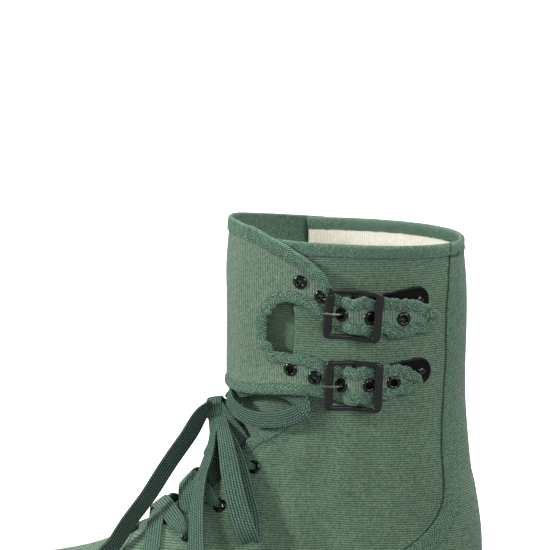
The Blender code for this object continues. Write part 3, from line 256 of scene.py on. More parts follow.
def resample(poly, step):
    """Closed polygon with points at most a step apart; its corners stay."""
    out = []
    for p, q in zip(poly, np.roll(poly, -1, axis=0)):
        n = max(1, int(math.ceil(np.linalg.norm(q - p) / step)))
        out += [p + (q - p) * k / n for k in range(n)]
    return np.array(out)


def even_line(pts, step):
    """Open polyline in points an even step apart."""
    pts = np.asarray(pts, float)
    run = np.concatenate([[0], np.cumsum(np.linalg.norm(np.diff(pts, axis=0), axis=1))])
    n = max(2, int(round(run[-1] / step)) + 1)
    at = np.linspace(0, run[-1], n)
    return np.stack([np.interp(at, run, pts[:, k]) for k in range(pts.shape[1])], 1)


def spline_line(pts, step):
    """Open smooth curve through points, in even steps."""
    pts = np.asarray(pts, float)
    run = np.concatenate([[0], np.cumsum(np.linalg.norm(np.diff(pts, axis=0), axis=1))])
    at = np.linspace(0, run[-1], max(4, int(run[-1] / .5)))
    return even_line(np.stack([natural_spline(run, pts[:, k])(at)
                               for k in range(pts.shape[1])], 1), step)


def triangulate(outline, holes, step, clear=.62, fine=None, chains=()):
    """Even triangles in a flat outline with holes; fine is a smaller step and a test
    for the places that need it."""
    fixed, edges = [], []
    for loop, closed in [(outline, True)] + [(h, True) for h in holes] + [(c, False) for c in chains]:
        base, n = len(fixed), len(loop)
        fixed += [tuple(p) for p in loop]
        edges += [(base + k, base + (k + 1) % n) for k in range(n if closed else n - 1)]
    lo, hi = outline.min(0), outline.max(0)
    tree = kdtree.KDTree(len(fixed))
    for k, p in enumerate(fixed):
        tree.insert((p[0], p[1], 0.0), k)
    tree.balance()
    grids = []
    for size in [step] + ([fine[0]] if fine else []):
        rows = []
        for k, y in enumerate(np.arange(lo[1] + size * .4, hi[1], size * .866)):
            xs = np.arange(lo[0] + size * (.25 if k % 2 else .75), hi[0], size)
            rows.append(np.stack([xs, np.full_like(xs, y)], 1))
        grid = np.concatenate(rows)
        if fine:
            grid = grid[fine[1](grid) == (size == fine[0])]
        keep = inside(outline, grid)
        for h in holes:
            keep &= ~inside(h, grid)
        grid = grid[keep]
        near = np.array([tree.find((g[0], g[1], 0.0))[2] for g in grid])
        grids.append(grid[near > size * clear])
    grid = np.concatenate(grids)
    coords = [Vector(p) for p in fixed] + [Vector(g) for g in grid]
    v, _, f, _, _, _ = delaunay_2d_cdt(coords, edges, [], 0, 1e-6)
    v = np.array([tuple(p) for p in v])
    f = np.array([tuple(t) for t in f if len(t) == 3])
    mid = v[f].mean(1)
    keep = inside(outline, mid)
    for h in holes:
        keep &= ~inside(h, mid)
    a, b = v[f[:, 1]] - v[f[:, 0]], v[f[:, 2]] - v[f[:, 0]]
    area = np.abs(a[:, 0] * b[:, 1] - a[:, 1] * b[:, 0])
    return v, f[keep & (area > 1e-7)]


def edge_runs(tris):
    """Directed edges that only one triangle has."""
    t = np.asarray(tris)
    e = np.concatenate([t[:, [0, 1]], t[:, [1, 2]], t[:, [2, 0]]])
    n = int(t.max()) + 1
    key, back = e[:, 0] * n + e[:, 1], e[:, 1] * n + e[:, 0]
    return e[~np.isin(key, back)]


def flat(us):
    return np.asarray(us, float) * (1.0, S_MM)


def disc_us(u, s, radius, n=20):
    """Round hole on the form, as n (u, s) points."""
    pu = blend(LAT_P, u + .5, s) - blend(LAT_P, u - .5, s)
    ps = (blend(LAT_P, u, s + .004) - blend(LAT_P, u, s - .004)) / .008
    e1 = pu / np.linalg.norm(pu)
    nrm = np.cross(pu, ps)
    e2 = np.cross(nrm / np.linalg.norm(nrm), e1)
    m = np.stack([pu, ps], 1)
    out = []
    for k in range(n):
        f = 2 * math.pi * k / n
        d = radius * (math.cos(f) * e1 + math.sin(f) * e2)
        out.append(np.array([u, s]) + np.linalg.lstsq(m, d, rcond=None)[0])
    return np.array(out)


def line_field(pts, line, closed=False):
    """For each point: length along the line to its nearest place, and its distance."""
    line = np.asarray(line, float)
    tree = kdtree.KDTree(len(line))
    for k, p in enumerate(line):
        tree.insert(p, k)
    tree.balance()
    run = np.concatenate([[0], np.cumsum(np.linalg.norm(np.diff(line, axis=0), axis=1))])
    index = np.array([tree.find(p)[1] for p in pts])
    if closed:
        tan = np.roll(line, -1, axis=0) - np.roll(line, 1, axis=0)
    else:
        tan = np.gradient(line, axis=0)
    tan /= np.maximum(np.linalg.norm(tan, axis=1, keepdims=True), 1e-9)
    d = pts - line[index]
    along = (d * tan[index]).sum(1)
    limit = 1.2 * np.median(np.diff(run))
    along = np.clip(along, -limit, limit)
    rest = d - tan[index] * along[:, None]
    return run[index] + along, np.linalg.norm(rest, axis=1)


def new_object(name, verts, faces, mats, mat_index=None, attrs=None, angle=None, shift=True):
    """Mesh object from millimetre points, with materials and point attributes."""
    pts = (np.asarray(verts, float) + (SHIFT if shift else 0.0)) * MM
    mesh = bpy.data.meshes.new(name)
    mesh.from_pydata(pts.tolist(), [], [tuple(int(i) for i in f) for f in faces])
    for m in mats:
        mesh.materials.append(m)
    if mat_index is not None:
        mesh.polygons.foreach_set("material_index", np.asarray(mat_index, np.int32))
    for key, values in (attrs or {}).items():
        values = np.asarray(values, np.float32)
        if values.ndim == 1:
            mesh.attributes.new(key, "FLOAT", "POINT").data.foreach_set("value", values)
        else:
            mesh.attributes.new(key, "FLOAT_VECTOR", "POINT").data.foreach_set(
                "vector", values.ravel())
    mesh.update()
    mesh.shade_smooth()
    if angle:
        mesh.set_sharp_from_angle(angle=math.radians(angle))
    obj = bpy.data.objects.new(name, mesh)
    scene.collection.objects.link(obj)
    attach(obj, "root")
    return obj


def face_out(obj):
    """Turns the faces of a closed mesh outwards."""
    bm = bmesh.new()
    bm.from_mesh(obj.data)
    bmesh.ops.recalc_face_normals(bm, faces=bm.faces)
    if bm.calc_volume(signed=True) < 0:
        bmesh.ops.reverse_faces(bm, faces=bm.faces)
    bm.to_mesh(obj.data)
    bm.free()
    obj.data.shade_smooth()
    return obj


class Soup:
    """Several small closed meshes that make one piece."""

    def __init__(self):
        self.v, self.f, self.a, self.n = [], [], {}, 0

    def add(self, verts, faces, attrs=None):
        verts = np.asarray(verts, float)
        self.v.append(verts)
        self.f += [tuple(int(i) + self.n for i in t) for t in faces]
        for k, x in (attrs or {}).items():
            self.a.setdefault(k, []).append(np.asarray(x, float))
        self.n += len(verts)

    def make(self, name, mats, angle=None):
        attrs = {k: np.concatenate(x) for k, x in self.a.items()}
        obj = new_object(name, np.concatenate(self.v), self.f, mats, None, attrs)
        face_out(obj)
        if angle:
            obj.data.set_sharp_from_angle(angle=math.radians(angle))
        return obj


def tube_faces(rings, n, closed=False, caps=True):
    """Quads of rings of n points; end caps where it is open."""
    f = []
    for k in range(rings if closed else rings - 1):
        a, b = k * n, ((k + 1) % rings) * n
        f += [(a + i, a + (i + 1) % n, b + (i + 1) % n, b + i) for i in range(n)]
    if caps and not closed:
        f += [tuple(range(n))[::-1], tuple((rings - 1) * n + i for i in range(n))]
    return f


# ------------------------------------------------------------------ materials
def lin(r, g, b):
    """sRGB 0..255 to linear."""
    out = []
    for c in (r, g, b):
        c = c / 255.0
        out.append(c / 12.92 if c <= .04045 else ((c + .055) / 1.055)**2.4)
    return tuple(out)


class Look:
    """Small helper that writes a node material."""

    def __init__(self, name):
        self.mat = bpy.data.materials.new(name)
        self.mat.use_nodes = True
        self.nt = self.mat.node_tree
        self.shader = self.nt.nodes["Principled BSDF"]

    def put(self, socket, value):
        if isinstance(value, bpy.types.NodeSocket):
            self.nt.links.new(value, socket)
        elif value is not None:
            if socket.type == "RGBA" and len(value) == 3:
                value = (*value, 1.0)
            socket.default_value = value

    def node(self, kind, **props):
        n = self.nt.nodes.new(kind)
        for k, v in props.items():
            setattr(n, k, v)
        return n

    def attr(self, name, out="Fac"):
        return self.node("ShaderNodeAttribute", attribute_name=name).outputs[out]

    def op(self, how, a, b=None, c=None, clamp=False):
        n = self.node("ShaderNodeMath", operation=how, use_clamp=clamp)
        for k, v in enumerate((a, b, c)):
            if v is not None:
                self.put(n.inputs[k], v)
        return n.outputs[0]

    def xyz(self, vector):
        n = self.node("ShaderNodeSeparateXYZ")
        self.put(n.inputs[0], vector)
        return n.outputs

    def pack(self, x, y, z=0.0):
        n = self.node("ShaderNodeCombineXYZ")
        for k, v in enumerate((x, y, z)):
            self.put(n.inputs[k], v)
        return n.outputs[0]

    def noise(self, vector, scale, detail=3.0, rough=.55):
        n = self.node("ShaderNodeTexNoise")
        self.put(n.inputs["Vector"], vector)
        n.inputs["Scale"].default_value = scale
        n.inputs["Detail"].default_value = detail
        n.inputs["Roughness"].default_value = rough
        return n.outputs[0]

    def where(self):
        return self.node("ShaderNodeTexCoord").outputs["Object"]

    def mix(self, fac, a, b, how="MIX"):
        n = self.node("ShaderNodeMix", data_type="RGBA", blend_type=how)
        self.put(n.inputs[0], fac)
        self.put(n.inputs[6], a)
        self.put(n.inputs[7], b)
        return n.outputs[2]

    def fmix(self, fac, a, b):
        n = self.node("ShaderNodeMix", data_type="FLOAT")
        self.put(n.inputs[0], fac)
        self.put(n.inputs[2], a)
        self.put(n.inputs[3], b)
        return n.outputs[0]

    def span(self, value, a, b, c=0.0, d=1.0):
        n = self.node("ShaderNodeMapRange", interpolation_type="SMOOTHSTEP")
        self.put(n.inputs[0], value)
        for k, v in enumerate((a, b, c, d)):
            n.inputs[k + 1].default_value = v
        return n.outputs[0]

    def wave(self, phase):
        """0..1 cosine of a phase in turns."""
        return self.op("MULTIPLY_ADD", self.op("COSINE", self.op("MULTIPLY", phase, 2 * math.pi)), .5, .5)

    def bump(self, height, distance, strength=1.0, normal=None):
        n = self.node("ShaderNodeBump")
        n.inputs["Strength"].default_value = strength
        n.inputs["Distance"].default_value = distance
        self.put(n.inputs["Height"], height)
        if normal is not None:
            self.put(n.inputs["Normal"], normal)
        return n.outputs[0]

    def set(self, **values):
        for k, v in values.items():
            self.put(self.shader.inputs[k.replace("_", " ")], v)
        return self.mat


TAPE_RGB = lin(110, 142, 121)
TAPE_DARK = lin(30, 52, 41)


def weave(L, pitch, bead, deep, attr="weave"):
    """Ribbed plain weave from the weave attribute (x along the ribs, y across, in mm):
    colour share 0..1 and height 0..1."""
    w = L.xyz(L.attr(attr, "Vector"))
    wob = L.noise(L.where(), 260.0, 2.0)
    row = L.op("ADD", L.op("DIVIDE", w[1], pitch), L.op("MULTIPLY", L.op("SUBTRACT", wob, .5), .4))
    cell = L.op("FLOOR", row)
    rib = L.op("SINE", L.op("MULTIPLY", L.op("FRACT", row), math.pi))
    along = L.op("ADD", L.op("DIVIDE", w[0], bead), L.op("MULTIPLY", cell, .5))
    along = L.op("ADD", along, L.op("MULTIPLY", L.op("SUBTRACT", L.noise(L.where(), 410.0, 2.0), .5), .7))
    thread = L.wave(along)
    height = L.op("MULTIPLY", rib, L.op("MULTIPLY_ADD", thread, deep, 1.0 - deep))
    return height


def herringbone(L, pitch=1.28, column=2.1):
    """Herringbone tape from the attributes tape_t (along) and tape_w (across), in mm."""
    t, w = L.attr("tape_t"), L.attr("tape_w")
    part = L.op("DIVIDE", w, column)
    flip = L.op("PINGPONG", part, 1.0)
    wob = L.noise(L.where(), 330.0, 2.0)
    phase = L.op("ADD", L.op("DIVIDE", t, pitch), L.op("MULTIPLY", flip, column / pitch))
    phase = L.op("ADD", phase, L.op("MULTIPLY", L.op("SUBTRACT", wob, .5), 1.1))
    line = L.wave(phase)
    fine = L.wave(L.op("DIVIDE", L.op("SUBTRACT", t, w), .52))
    return L.op("MULTIPLY_ADD", fine, .18, L.op("MULTIPLY", line, .82))


def cloth(name, light, dark, pitch, bead, deep=.55, tape=True, tape_light=TAPE_RGB,
          tape_dark=TAPE_DARK, rough=.93, bump_mm=.16, fade=.10, seam_shade=False):
    """Canvas, with herringbone tape where tape_m is above 0; painted shade darkens the tape's edge and, with
    seam_shade, the seams at seam_d 0.
    """
    L = Look(name)
    h = weave(L, pitch, bead, deep)
    where = L.where()
    big = L.noise(where, 26.0, 4.0, .6)
    slub = L.noise(where, 760.0, 2.0)
    share = L.op("MULTIPLY_ADD", L.op("SUBTRACT", slub, .5), 1.6, h)
    colour = L.mix(share, dark, light)
    patch = L.noise(where, 190.0, 3.0, .6)
    shade = L.op("MULTIPLY_ADD", L.op("SUBTRACT", big, .5), fade * 2, 1.0)
    shade = L.op("MULTIPLY_ADD", L.op("SUBTRACT", patch, .5), fade * 1.4, shade)
    if seam_shade:
        # painted shade: a dark line along the seams at seam_d 0, where one panel's raised edge lies over the next
        gap = L.op("ABSOLUTE", L.attr("seam_d"))
        shade = L.op("MULTIPLY", shade, L.span(gap, .10, .80, .36, 1.0))
    height = h
    if tape:
        ragged = L.op("MULTIPLY", L.op("SUBTRACT", L.noise(where, 420.0, 2.0), .5), 1.5)
        m = L.op("ADD", L.attr("tape_m"), ragged)
        on = L.span(m, -.12, .18)
        hh = herringbone(L)
        tcol = L.mix(L.op("MULTIPLY_ADD", L.op("SUBTRACT", slub, .5), .9, hh), tape_dark, tape_light)
        # painted shade: a darker line along the tape's edge, where its raised edge meets the canvas
        tape_edge_shade = L.span(L.op("ABSOLUTE", L.op("ADD", m, .10)), .05, .6, .74, 1.0)
        colour = L.mix(on, colour, tcol)
        height = L.fmix(on, h, hh)
        shade = L.op("MULTIPLY", shade, tape_edge_shade)
    colour = L.mix(1.0, colour, L.pack(shade, shade, shade), "MULTIPLY")
    fuzz = L.noise(where, 1500.0, 2.0)
    if tape:
        height = L.op("MULTIPLY", height, L.fmix(on, 1.0, 2.8))
    n1 = L.bump(L.op("MULTIPLY_ADD", fuzz, .35, height), bump_mm * MM, 1.0)
    return L.set(Base_Color=colour, Roughness=L.op("MULTIPLY_ADD", height, -.06, rough),
                 Normal=n1, Sheen_Weight=.05, Sheen_Roughness=.55, Specular_IOR_Level=.12)


QUARTER = cloth("quarter_canvas", lin(98, 121, 101), lin(50, 68, 54), 1.22, 1.3, .32, seam_shade=True)
FLAP_LOOK = cloth("cuff_canvas", lin(109, 130, 111), lin(60, 77, 63), 1.32, 1.2, .42)
TONGUE_LOOK = cloth("tongue_canvas", lin(94, 117, 97), lin(58, 77, 62), 1.22, 1.3, .32, tape=False)
LINING = cloth("lining_cotton", lin(229, 225, 212), lin(205, 199, 184), .95, .8, .35, fade=.05,
               bump_mm=.14)


def lace_look(name="lace_weave", light=lin(92, 121, 106), dark=lin(19, 35, 29)):
    L = Look(name)
    t, w = L.attr("lace_t"), L.attr("lace_w")
    ribs = L.op("MULTIPLY", w, 3.5)
    cell = L.op("FLOOR", L.op("ADD", ribs, .5))
    rib = L.wave(ribs)
    stitch = L.wave(L.op("ADD", L.op("DIVIDE", t, 1.5), L.op("MULTIPLY", cell, .5)))
    h = L.op("MULTIPLY", L.op("POWER", rib, .6), L.op("MULTIPLY_ADD", stitch, .62, .38))
    slub = L.noise(L.where(), 700.0, 2.0)
    big = L.noise(L.where(), 60.0, 3.0)
    share = L.op("MULTIPLY_ADD", L.op("SUBTRACT", slub, .5), .5, h)
    colour = L.mix(share, dark, light)
    shade = L.op("MULTIPLY_ADD", L.op("SUBTRACT", big, .5), .25, 1.0)
    colour = L.mix(1.0, colour, L.pack(shade, shade, shade), "MULTIPLY")
    return L.set(Base_Color=colour, Roughness=.88, Normal=L.bump(h, .28 * MM),
                 Sheen_Weight=.05, Sheen_Roughness=.5, Specular_IOR_Level=.15)


LACE = lace_look()
# a darker copy of the lace, painted shade for the bow's front end, which hangs in the shadow of the front loop
LACE_SHADED = lace_look("lace_weave_shaded", lin(66, 88, 78), lin(12, 24, 20))


def metal_look(name, base, rough, coat, worn=lin(92, 88, 84), wear=.5, metallic=.0, shine=.5):
    L = Look(name)
    where = L.where()
    big = L.noise(where, 90.0, 4.0, .65)
    fine = L.noise(where, 900.0, 3.0, .6)
    scratch = L.noise(L.pack(L.op("MULTIPLY", L.xyz(where)[0], 3.0), L.xyz(where)[1],
                             L.op("MULTIPLY", L.xyz(where)[2], .25)), 600.0, 2.0)
    spot = L.span(L.op("MULTIPLY_ADD", fine, .35, L.op("MULTIPLY", big, .65)), .56, .72, 0.0, wear)
    colour = L.mix(spot, base, worn)
    r = L.op("ADD", L.op("MULTIPLY_ADD", big, .16, rough - .08),
             L.op("MULTIPLY", L.op("SUBTRACT", scratch, .5), .12))
    return L.set(Base_Color=colour, Roughness=r, Metallic=metallic, Coat_Weight=coat,
                 Coat_Roughness=.12, Specular_IOR_Level=shine,
                 Normal=L.bump(L.op("ADD", fine, scratch), .012 * MM))


ENAMEL = metal_look("black_enamel", lin(19, 21, 21), .34, .0, wear=.12, shine=.34)
PLATE = metal_look("plate_enamel", lin(6, 7, 8), .34, .0, wear=.05, shine=.10)
EYELET = metal_look("eyelet_enamel", lin(7, 8, 9), .16, .25, wear=.05, shine=.3)
PRONG = metal_look("prong_steel", lin(104, 103, 100), .34, .0, wear=.2, metallic=.75)


def rubber_look():
    L = Look("sole_rubber")
    where = L.where()
    big = L.noise(where, 40.0, 4.0, .6)
    fine = L.noise(where, 1300.0, 3.0, .6)
    mid = L.noise(where, 260.0, 3.0, .5)
    colour = L.mix(L.span(big, .35, .75), lin(30, 31, 30), lin(43, 44, 42))
    return L.set(Base_Color=colour, Roughness=L.op("MULTIPLY_ADD", mid, .2, .48),
                 Normal=L.bump(L.op("MULTIPLY_ADD", mid, .5, fine), .05 * MM), Coat_Weight=.04)


RUBBER = rubber_look()


def thread_look():
    L = Look("sewing_thread")
    where = L.where()
    f = L.noise(where, 1800.0, 2.0)
    colour = L.mix(f, lin(58, 84, 69), lin(88, 116, 98))
    return L.set(Base_Color=colour, Roughness=.8, Normal=L.bump(f, .06 * MM), Sheen_Weight=.15)


THREAD = thread_look()

# ------------------------------------------------------------------ lace routes
LACE_HALF, LACE_THICK = 5.2, .8
KNOT_AT = np.array([9.6, -1.0, 134.0])
FREE_LOOKS = (.24, -.82, -.42)
END_FRONT = (
    ("free", 8.2, -6.6, 138.0, 3.4), ("free", 3.4, -7.0, 134.0, 4.4),
    ("free", -2.4, -6.8, 124.6, 5.0),
    ("free", -10.0, -8.0, 113.5, 5.2), ("free", -17.6, -10.8, 102.5, 5.2),
    ("free", -24.8, -14.0, 91.6, 5.2), ("free", -34.6, -18.4, 79.0, 5.2),
    ("free", -43.0, -24.0, 67.0, 5.2), ("form", -48.0, 56.0, 4.6, 5.2),
    ("form", -52.0, 51.5, 4.5, 5.2), ("form", -56.0, 46.5, 4.4, 5.2),
    ("form", -60.0, 41.0, 4.3, 5.2), ("form", -62.5, 37.0, 4.2, 5.2),
)
END_SIDE = (
    ("near", 9.4, -5.6, 131.8, 3.2), ("turn", 14.0, 122.4, 6.2, 3.8),
    ("turn", 11.4, 112.8, 5.8, 4.4), ("turn", 6.8, 102.0, 5.2, 4.8),
    ("turn", 3.2, 90.4, 5.0, 5.0), ("turn", 1.4, 78.4, 4.9, 5.2),
    ("turn", .8, 67.0, 4.8, 5.2), ("turn", .4, 56.0, 4.8, 5.2),
)
LOOP_FRONT = (
    ("near", 12.4, -8.0, 131.6, 3.2), ("side", 20.4, 119.6, 8.2, 4.4),
    ("side", 21.8, 107.6, 9.4, 5.3), ("side", 23.4, 93.8, 10.2, 5.5),
    ("side", 25.6, 82.4, 10.2, 5.5), ("side", 27.2, 76.2, 9.2, 5.4),
    ("side", 28.0, 73.4, 7.2, 5.3), ("side", 28.4, 72.4, 6.0, 5.2),
    ("form", 28.8, 73.6, 4.8, 5.2), ("form", 29.0, 77.0, 3.9, 5.2),
    ("form", 28.4, 84.6, 3.8, 5.2), ("form", 26.4, 95.0, 3.8, 5.2),
    ("form", 24.2, 106.6, 3.8, 5.0), ("form", 21.8, 117.0, 4.0, 4.2),
    ("form", 19.0, 124.6, 4.4, 3.2),
)
LOOP_SIDE = (
    ("form", 23.4, 137.0, 1.8, 2.6), ("form", 21.8, 140.8, 1.9, 3.0),
    ("form", 21.2, 143.4, 2.5, 3.2), ("form", 21.2, 144.9, 4.1, 3.3),
    ("form", 21.8, 144.2, 5.7, 3.5), ("form", 22.8, 141.4, 6.2, 3.9),
    ("form", 25.2, 138.0, 5.8, 4.1), ("form", 29.2, 135.8, 5.0, 4.2),
    ("form", 36.6, 135.2, 4.4, 4.2), ("form", 46.0, 137.2, 4.2, 4.3),
    ("form", 51.4, 139.6, 4.2, 4.4), ("form", 54.4, 142.2, 3.8, 4.6),
    ("form", 55.0, 144.6, 3.0, 4.7), ("form", 53.0, 147.1, 2.0, 4.5),
    ("form", 48.5, 149.6, 1.6, 3.9), ("form", 40.6, 151.2, 1.4, 3.4),
    ("form", 31.7, 150.2, 1.5, 3.3), ("form", 25.0, 147.6, 1.9, 3.2),
    ("form", 20.8, 144.8, 2.5, 3.0), ("near", 16.8, -4.2, 140.8, 2.6),
)
LACE_EYELETS = (
    (244.4, -.172, .176),
    (199.3, -.182, .186),
    (164.2, -.217, .221),
    (134.0, -.268, .272),
)


def route(rows):
    """Points of a route of the bow, where the lace's flat side looks, half widths."""
    pts, looks = [], []
    outward = np.array((-.12, -1.0, .10))
    forward = np.array((-.95, -.30, .10))
    for kind, a, b, c, _ in rows:
        if kind in ("form", "side", "turn"):
            u, s = side_us(a, b)
            pts.append(point(u, s, np.array([c]))[0])
            n = normal_at(u, s)[0]
            looks.append({"form": n, "side": n * .35 + outward * .65, "turn": n * .55 + forward * .45}[kind])
        else:
            pts.append(np.array((a, b, c)))
            looks.append(np.array(FREE_LOOKS) if kind == "free" else outward)
    return np.array(pts), np.array(looks), np.array([r[4] for r in rows])


def ribbon_mesh(centres, looks, half, thick=None, step=1.1, across=19, ribs=3.5, cup=0.0, spline=True):
    """Flat ribbed lace along a route: verts, faces, attributes, centre line."""
    c, look = np.array(centres, float), np.array(looks, float)
    run = np.concatenate([[0], np.cumsum(np.linalg.norm(np.diff(c, axis=0), axis=1))])
    at = np.linspace(0, run[-1], int(run[-1] / step) + 2)
    path = np.stack([natural_spline(run, c[:, k])(at) for k in range(3)], 1)
    n = np.stack([np.interp(at, run, look[:, k]) for k in range(3)], 1)
    for _ in range(3):
        n[1:-1] = (n[:-2] + 2 * n[1:-1] + n[2:]) / 4
    w = np.interp(at, run, half)
    h = np.full(len(at), LACE_THICK) if thick is None else np.interp(at, run, thick)
    t = np.gradient(path, axis=0)
    t /= np.linalg.norm(t, axis=1, keepdims=True)
    # the width keeps its side through the folds of a loop
    raw = np.cross(n / np.linalg.norm(n, axis=1, keepdims=True), t)
    side = np.empty_like(raw)
    for i, r in enumerate(raw):
        if i and np.linalg.norm(r) < .3:
            r = side[i - 1] - t[i] * side[i - 1].dot(t[i])
        elif i and r.dot(side[i - 1]) < 0:
            r = -r
        side[i] = r / np.linalg.norm(r)
    for _ in range(2):
        side[1:-1] = (side[:-2] + 2 * side[1:-1] + side[2:]) / 4
    side -= t * (side * t).sum(1, keepdims=True)
    side /= np.linalg.norm(side, axis=1, keepdims=True)
    n = np.cross(t, side)
    q = np.linspace(-1, 1, across)
    edge = np.sqrt(np.maximum(0.0, 1 - np.abs(q)**6))
    rib = 1 + .16 * np.cos(2 * math.pi * ribs * q)
    top = edge * rib
    ring_w = np.concatenate([q, q[-2:0:-1]])
    ring_h = np.concatenate([top, -top[-2:0:-1]])
    m = len(ring_w)
    bow = cup * (1 - ring_w**2)
    verts = (path[:, None] + side[:, None] * (w[:, None] * ring_w[None])[..., None]
             + n[:, None] * (h[:, None] * ring_h[None] + (bow * 1.0)[None])[..., None])
    along = np.concatenate([[0], np.cumsum(np.linalg.norm(np.diff(path, axis=0), axis=1))])
    attrs = {"lace_t": np.repeat(along, m), "lace_w": np.tile(ring_w, len(at))}
    return verts.reshape(-1, 3), tube_faces(len(at), m), attrs, path


def lace_piece(name, rows, look=LACE, **more):
    pts, looks, half = route(rows)
    v, f, a, path = ribbon_mesh(pts, looks, half, **more)
    obj = new_object(name, v, f, [look], None, a)
    face_out(obj)
    return obj, (path + SHIFT) * MM


def make_bow():
    made = {}
    for name, rows, far in (("lace_end_front", END_FRONT, "bare"), ("lace_end_side", END_SIDE, "bare"),
                            ("lace_loop_front", LOOP_FRONT, "object"),
                            ("lace_loop_side", LOOP_SIDE, "object")):
        # the front end takes the darker lace copy: painted shade
        obj, path = lace_piece(name + "_cloth", rows, LACE_SHADED if name == "lace_end_front" else LACE)
        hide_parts(name)
        made[name] = obj
    return made


BOW = make_bow()

# ------------------------------------------------------------------ sole line
WALL = 2.0
COLLAR_U = 425.0
SOLE_COLUMNS = ("x", "floor", "rim", "under")
SOLE = (
    (-150.0, 19.5, 30.5, 11.0),
    (-130.0, 14.8, 29.0, 5.2),
    (-110.0, 11.6, 27.4, 1.6),
    (-92.0, 10.4, 26.2, 0.0),
    (-60.0, 10.2, 25.4, 0.0),
    (-25.0, 11.4, 25.8, 0.0),
    (15.0, 15.0, 28.4, 0.0),
    (55.0, 19.0, 32.0, 0.0),
    (90.0, 21.0, 34.6, 0.0),
    (150.0, 22.0, 37.0, 0.0),
)
SOLE_AT = {c: natural_spline([r[0] for r in SOLE], [r[i] for r in SOLE])
           for i, c in enumerate(SOLE_COLUMNS)}
STATIONS = 130


def under(x):
    return np.maximum(np.where(np.asarray(x) > -92.0, 0.0, SOLE_AT["under"](x)), 0.0)


def back_u(height):
    line = LAT_P[:, -1, 2]
    start = int(len(LAT_U) * .5)
    return float(np.interp(height, line[start:], LAT_U[start:]))


def station_lines():
    """(u, s) along the cup floor and along the rim, toe to heel, for each side."""
    lines = {}
    for level in ("floor", "rim"):
        u_back = back_u(float(SOLE_AT[level](146.0)))
        x_back = float(blend(LAT_P, u_back, 1.0)[0])
        x_toe = float(LAT_P[0, 0, 0])
        share = (1 - np.cos(math.pi * np.arange(STATIONS) / STATIONS)) / 2
        x = x_toe + (x_back - x_toe) * share
        for side in (-1, 1):
            u, s = side_us(x[1:], SOLE_AT[level](x[1:]), side)
            zs = LAT_P[0, :HALF + 1, 2][::-1] if side < 0 else LAT_P[0, HALF:, 2]
            s0 = np.interp(-float(SOLE_AT[level](x[0])), -zs, np.linspace(0, 1, HALF + 1))
            rows = np.concatenate([[[0.0, side * s0]], np.stack([u, s], 1), [[u_back, float(side)]]])
            lines[level, side] = rows
    return lines


LINES = station_lines()


def ring(level):
    lat, med = LINES[level, -1], LINES[level, 1]
    us = np.concatenate([lat, med[-2::-1]])
    return point(us[:, 0], us[:, 1], 0.0)


def plan_normals(loop):
    ahead, behind = np.roll(loop, -1, axis=0), np.roll(loop, 1, axis=0)
    d1, d2 = (ahead - loop)[:, :2], (loop - behind)[:, :2]
    d1 /= np.maximum(np.linalg.norm(d1, axis=1, keepdims=True), 1e-9)
    d2 /= np.maximum(np.linalg.norm(d2, axis=1, keepdims=True), 1e-9)
    t = d1 + d2
    t /= np.linalg.norm(t, axis=1, keepdims=True)
    n = np.stack([t[:, 1], -t[:, 0], np.zeros(len(t))], 1)
    out = loop - loop.mean(0)
    return n if (n * out).sum() > 0 else -n


RING_FLOOR, RING_RIM = ring("floor"), ring("rim")
NORM_FLOOR, NORM_RIM = plan_normals(RING_FLOOR), plan_normals(RING_RIM)
RING_N = len(RING_FLOOR)


def ladder(first):
    faces, n = [], RING_N
    for i in range(STATIONS - 1):
        a, b, c, d = i, i + 1, n - 2 - i, n - 1 - i
        faces += [(first + a, first + b, first + c), (first + a, first + c, first + d)]
    faces.append((first + STATIONS - 1, first + STATIONS, first + STATIONS + 1))
    return faces


def box_mesh(x0, x1, y0, y1, z0, z1, skew=0.0):
    """Block; skew turns its long sides in plan."""
    v = [(x + skew * y, y, z) for z in (z0, z1) for y in (y0, y1) for x in (x0, x1)]
    f = [(0, 1, 3, 2), (4, 5, 7, 6), (0, 1, 5, 4), (2, 3, 7, 6), (0, 2, 6, 4), (1, 3, 7, 5)]
    return v, f


def boolean(target, cutter, how="DIFFERENCE"):
    """Applies a Boolean of a cutter, which is then removed."""
    mod = target.modifiers.new("cut", "BOOLEAN")
    mod.operation, mod.solver, mod.object = how, "EXACT", cutter
    dg = bpy.context.evaluated_depsgraph_get()
    made = bpy.data.meshes.new_from_object(target.evaluated_get(dg))
    old = target.data
    target.modifiers.clear()
    target.data = made
    bpy.data.meshes.remove(old)
    bpy.data.objects.remove(cutter, do_unlink=True)


def plain_object(name, verts, faces):
    """Mesh object that is only a tool of the script."""
    mesh = bpy.data.meshes.new(name)
    mesh.from_pydata(((np.asarray(verts, float) + SHIFT) * MM).tolist(), [], faces)
    bm = bmesh.new()
    bm.from_mesh(mesh)
    bmesh.ops.recalc_face_normals(bm, faces=bm.faces)
    bm.to_mesh(mesh)
    bm.free()
    obj = bpy.data.objects.new(name, mesh)
    scene.collection.objects.link(obj)
    return obj


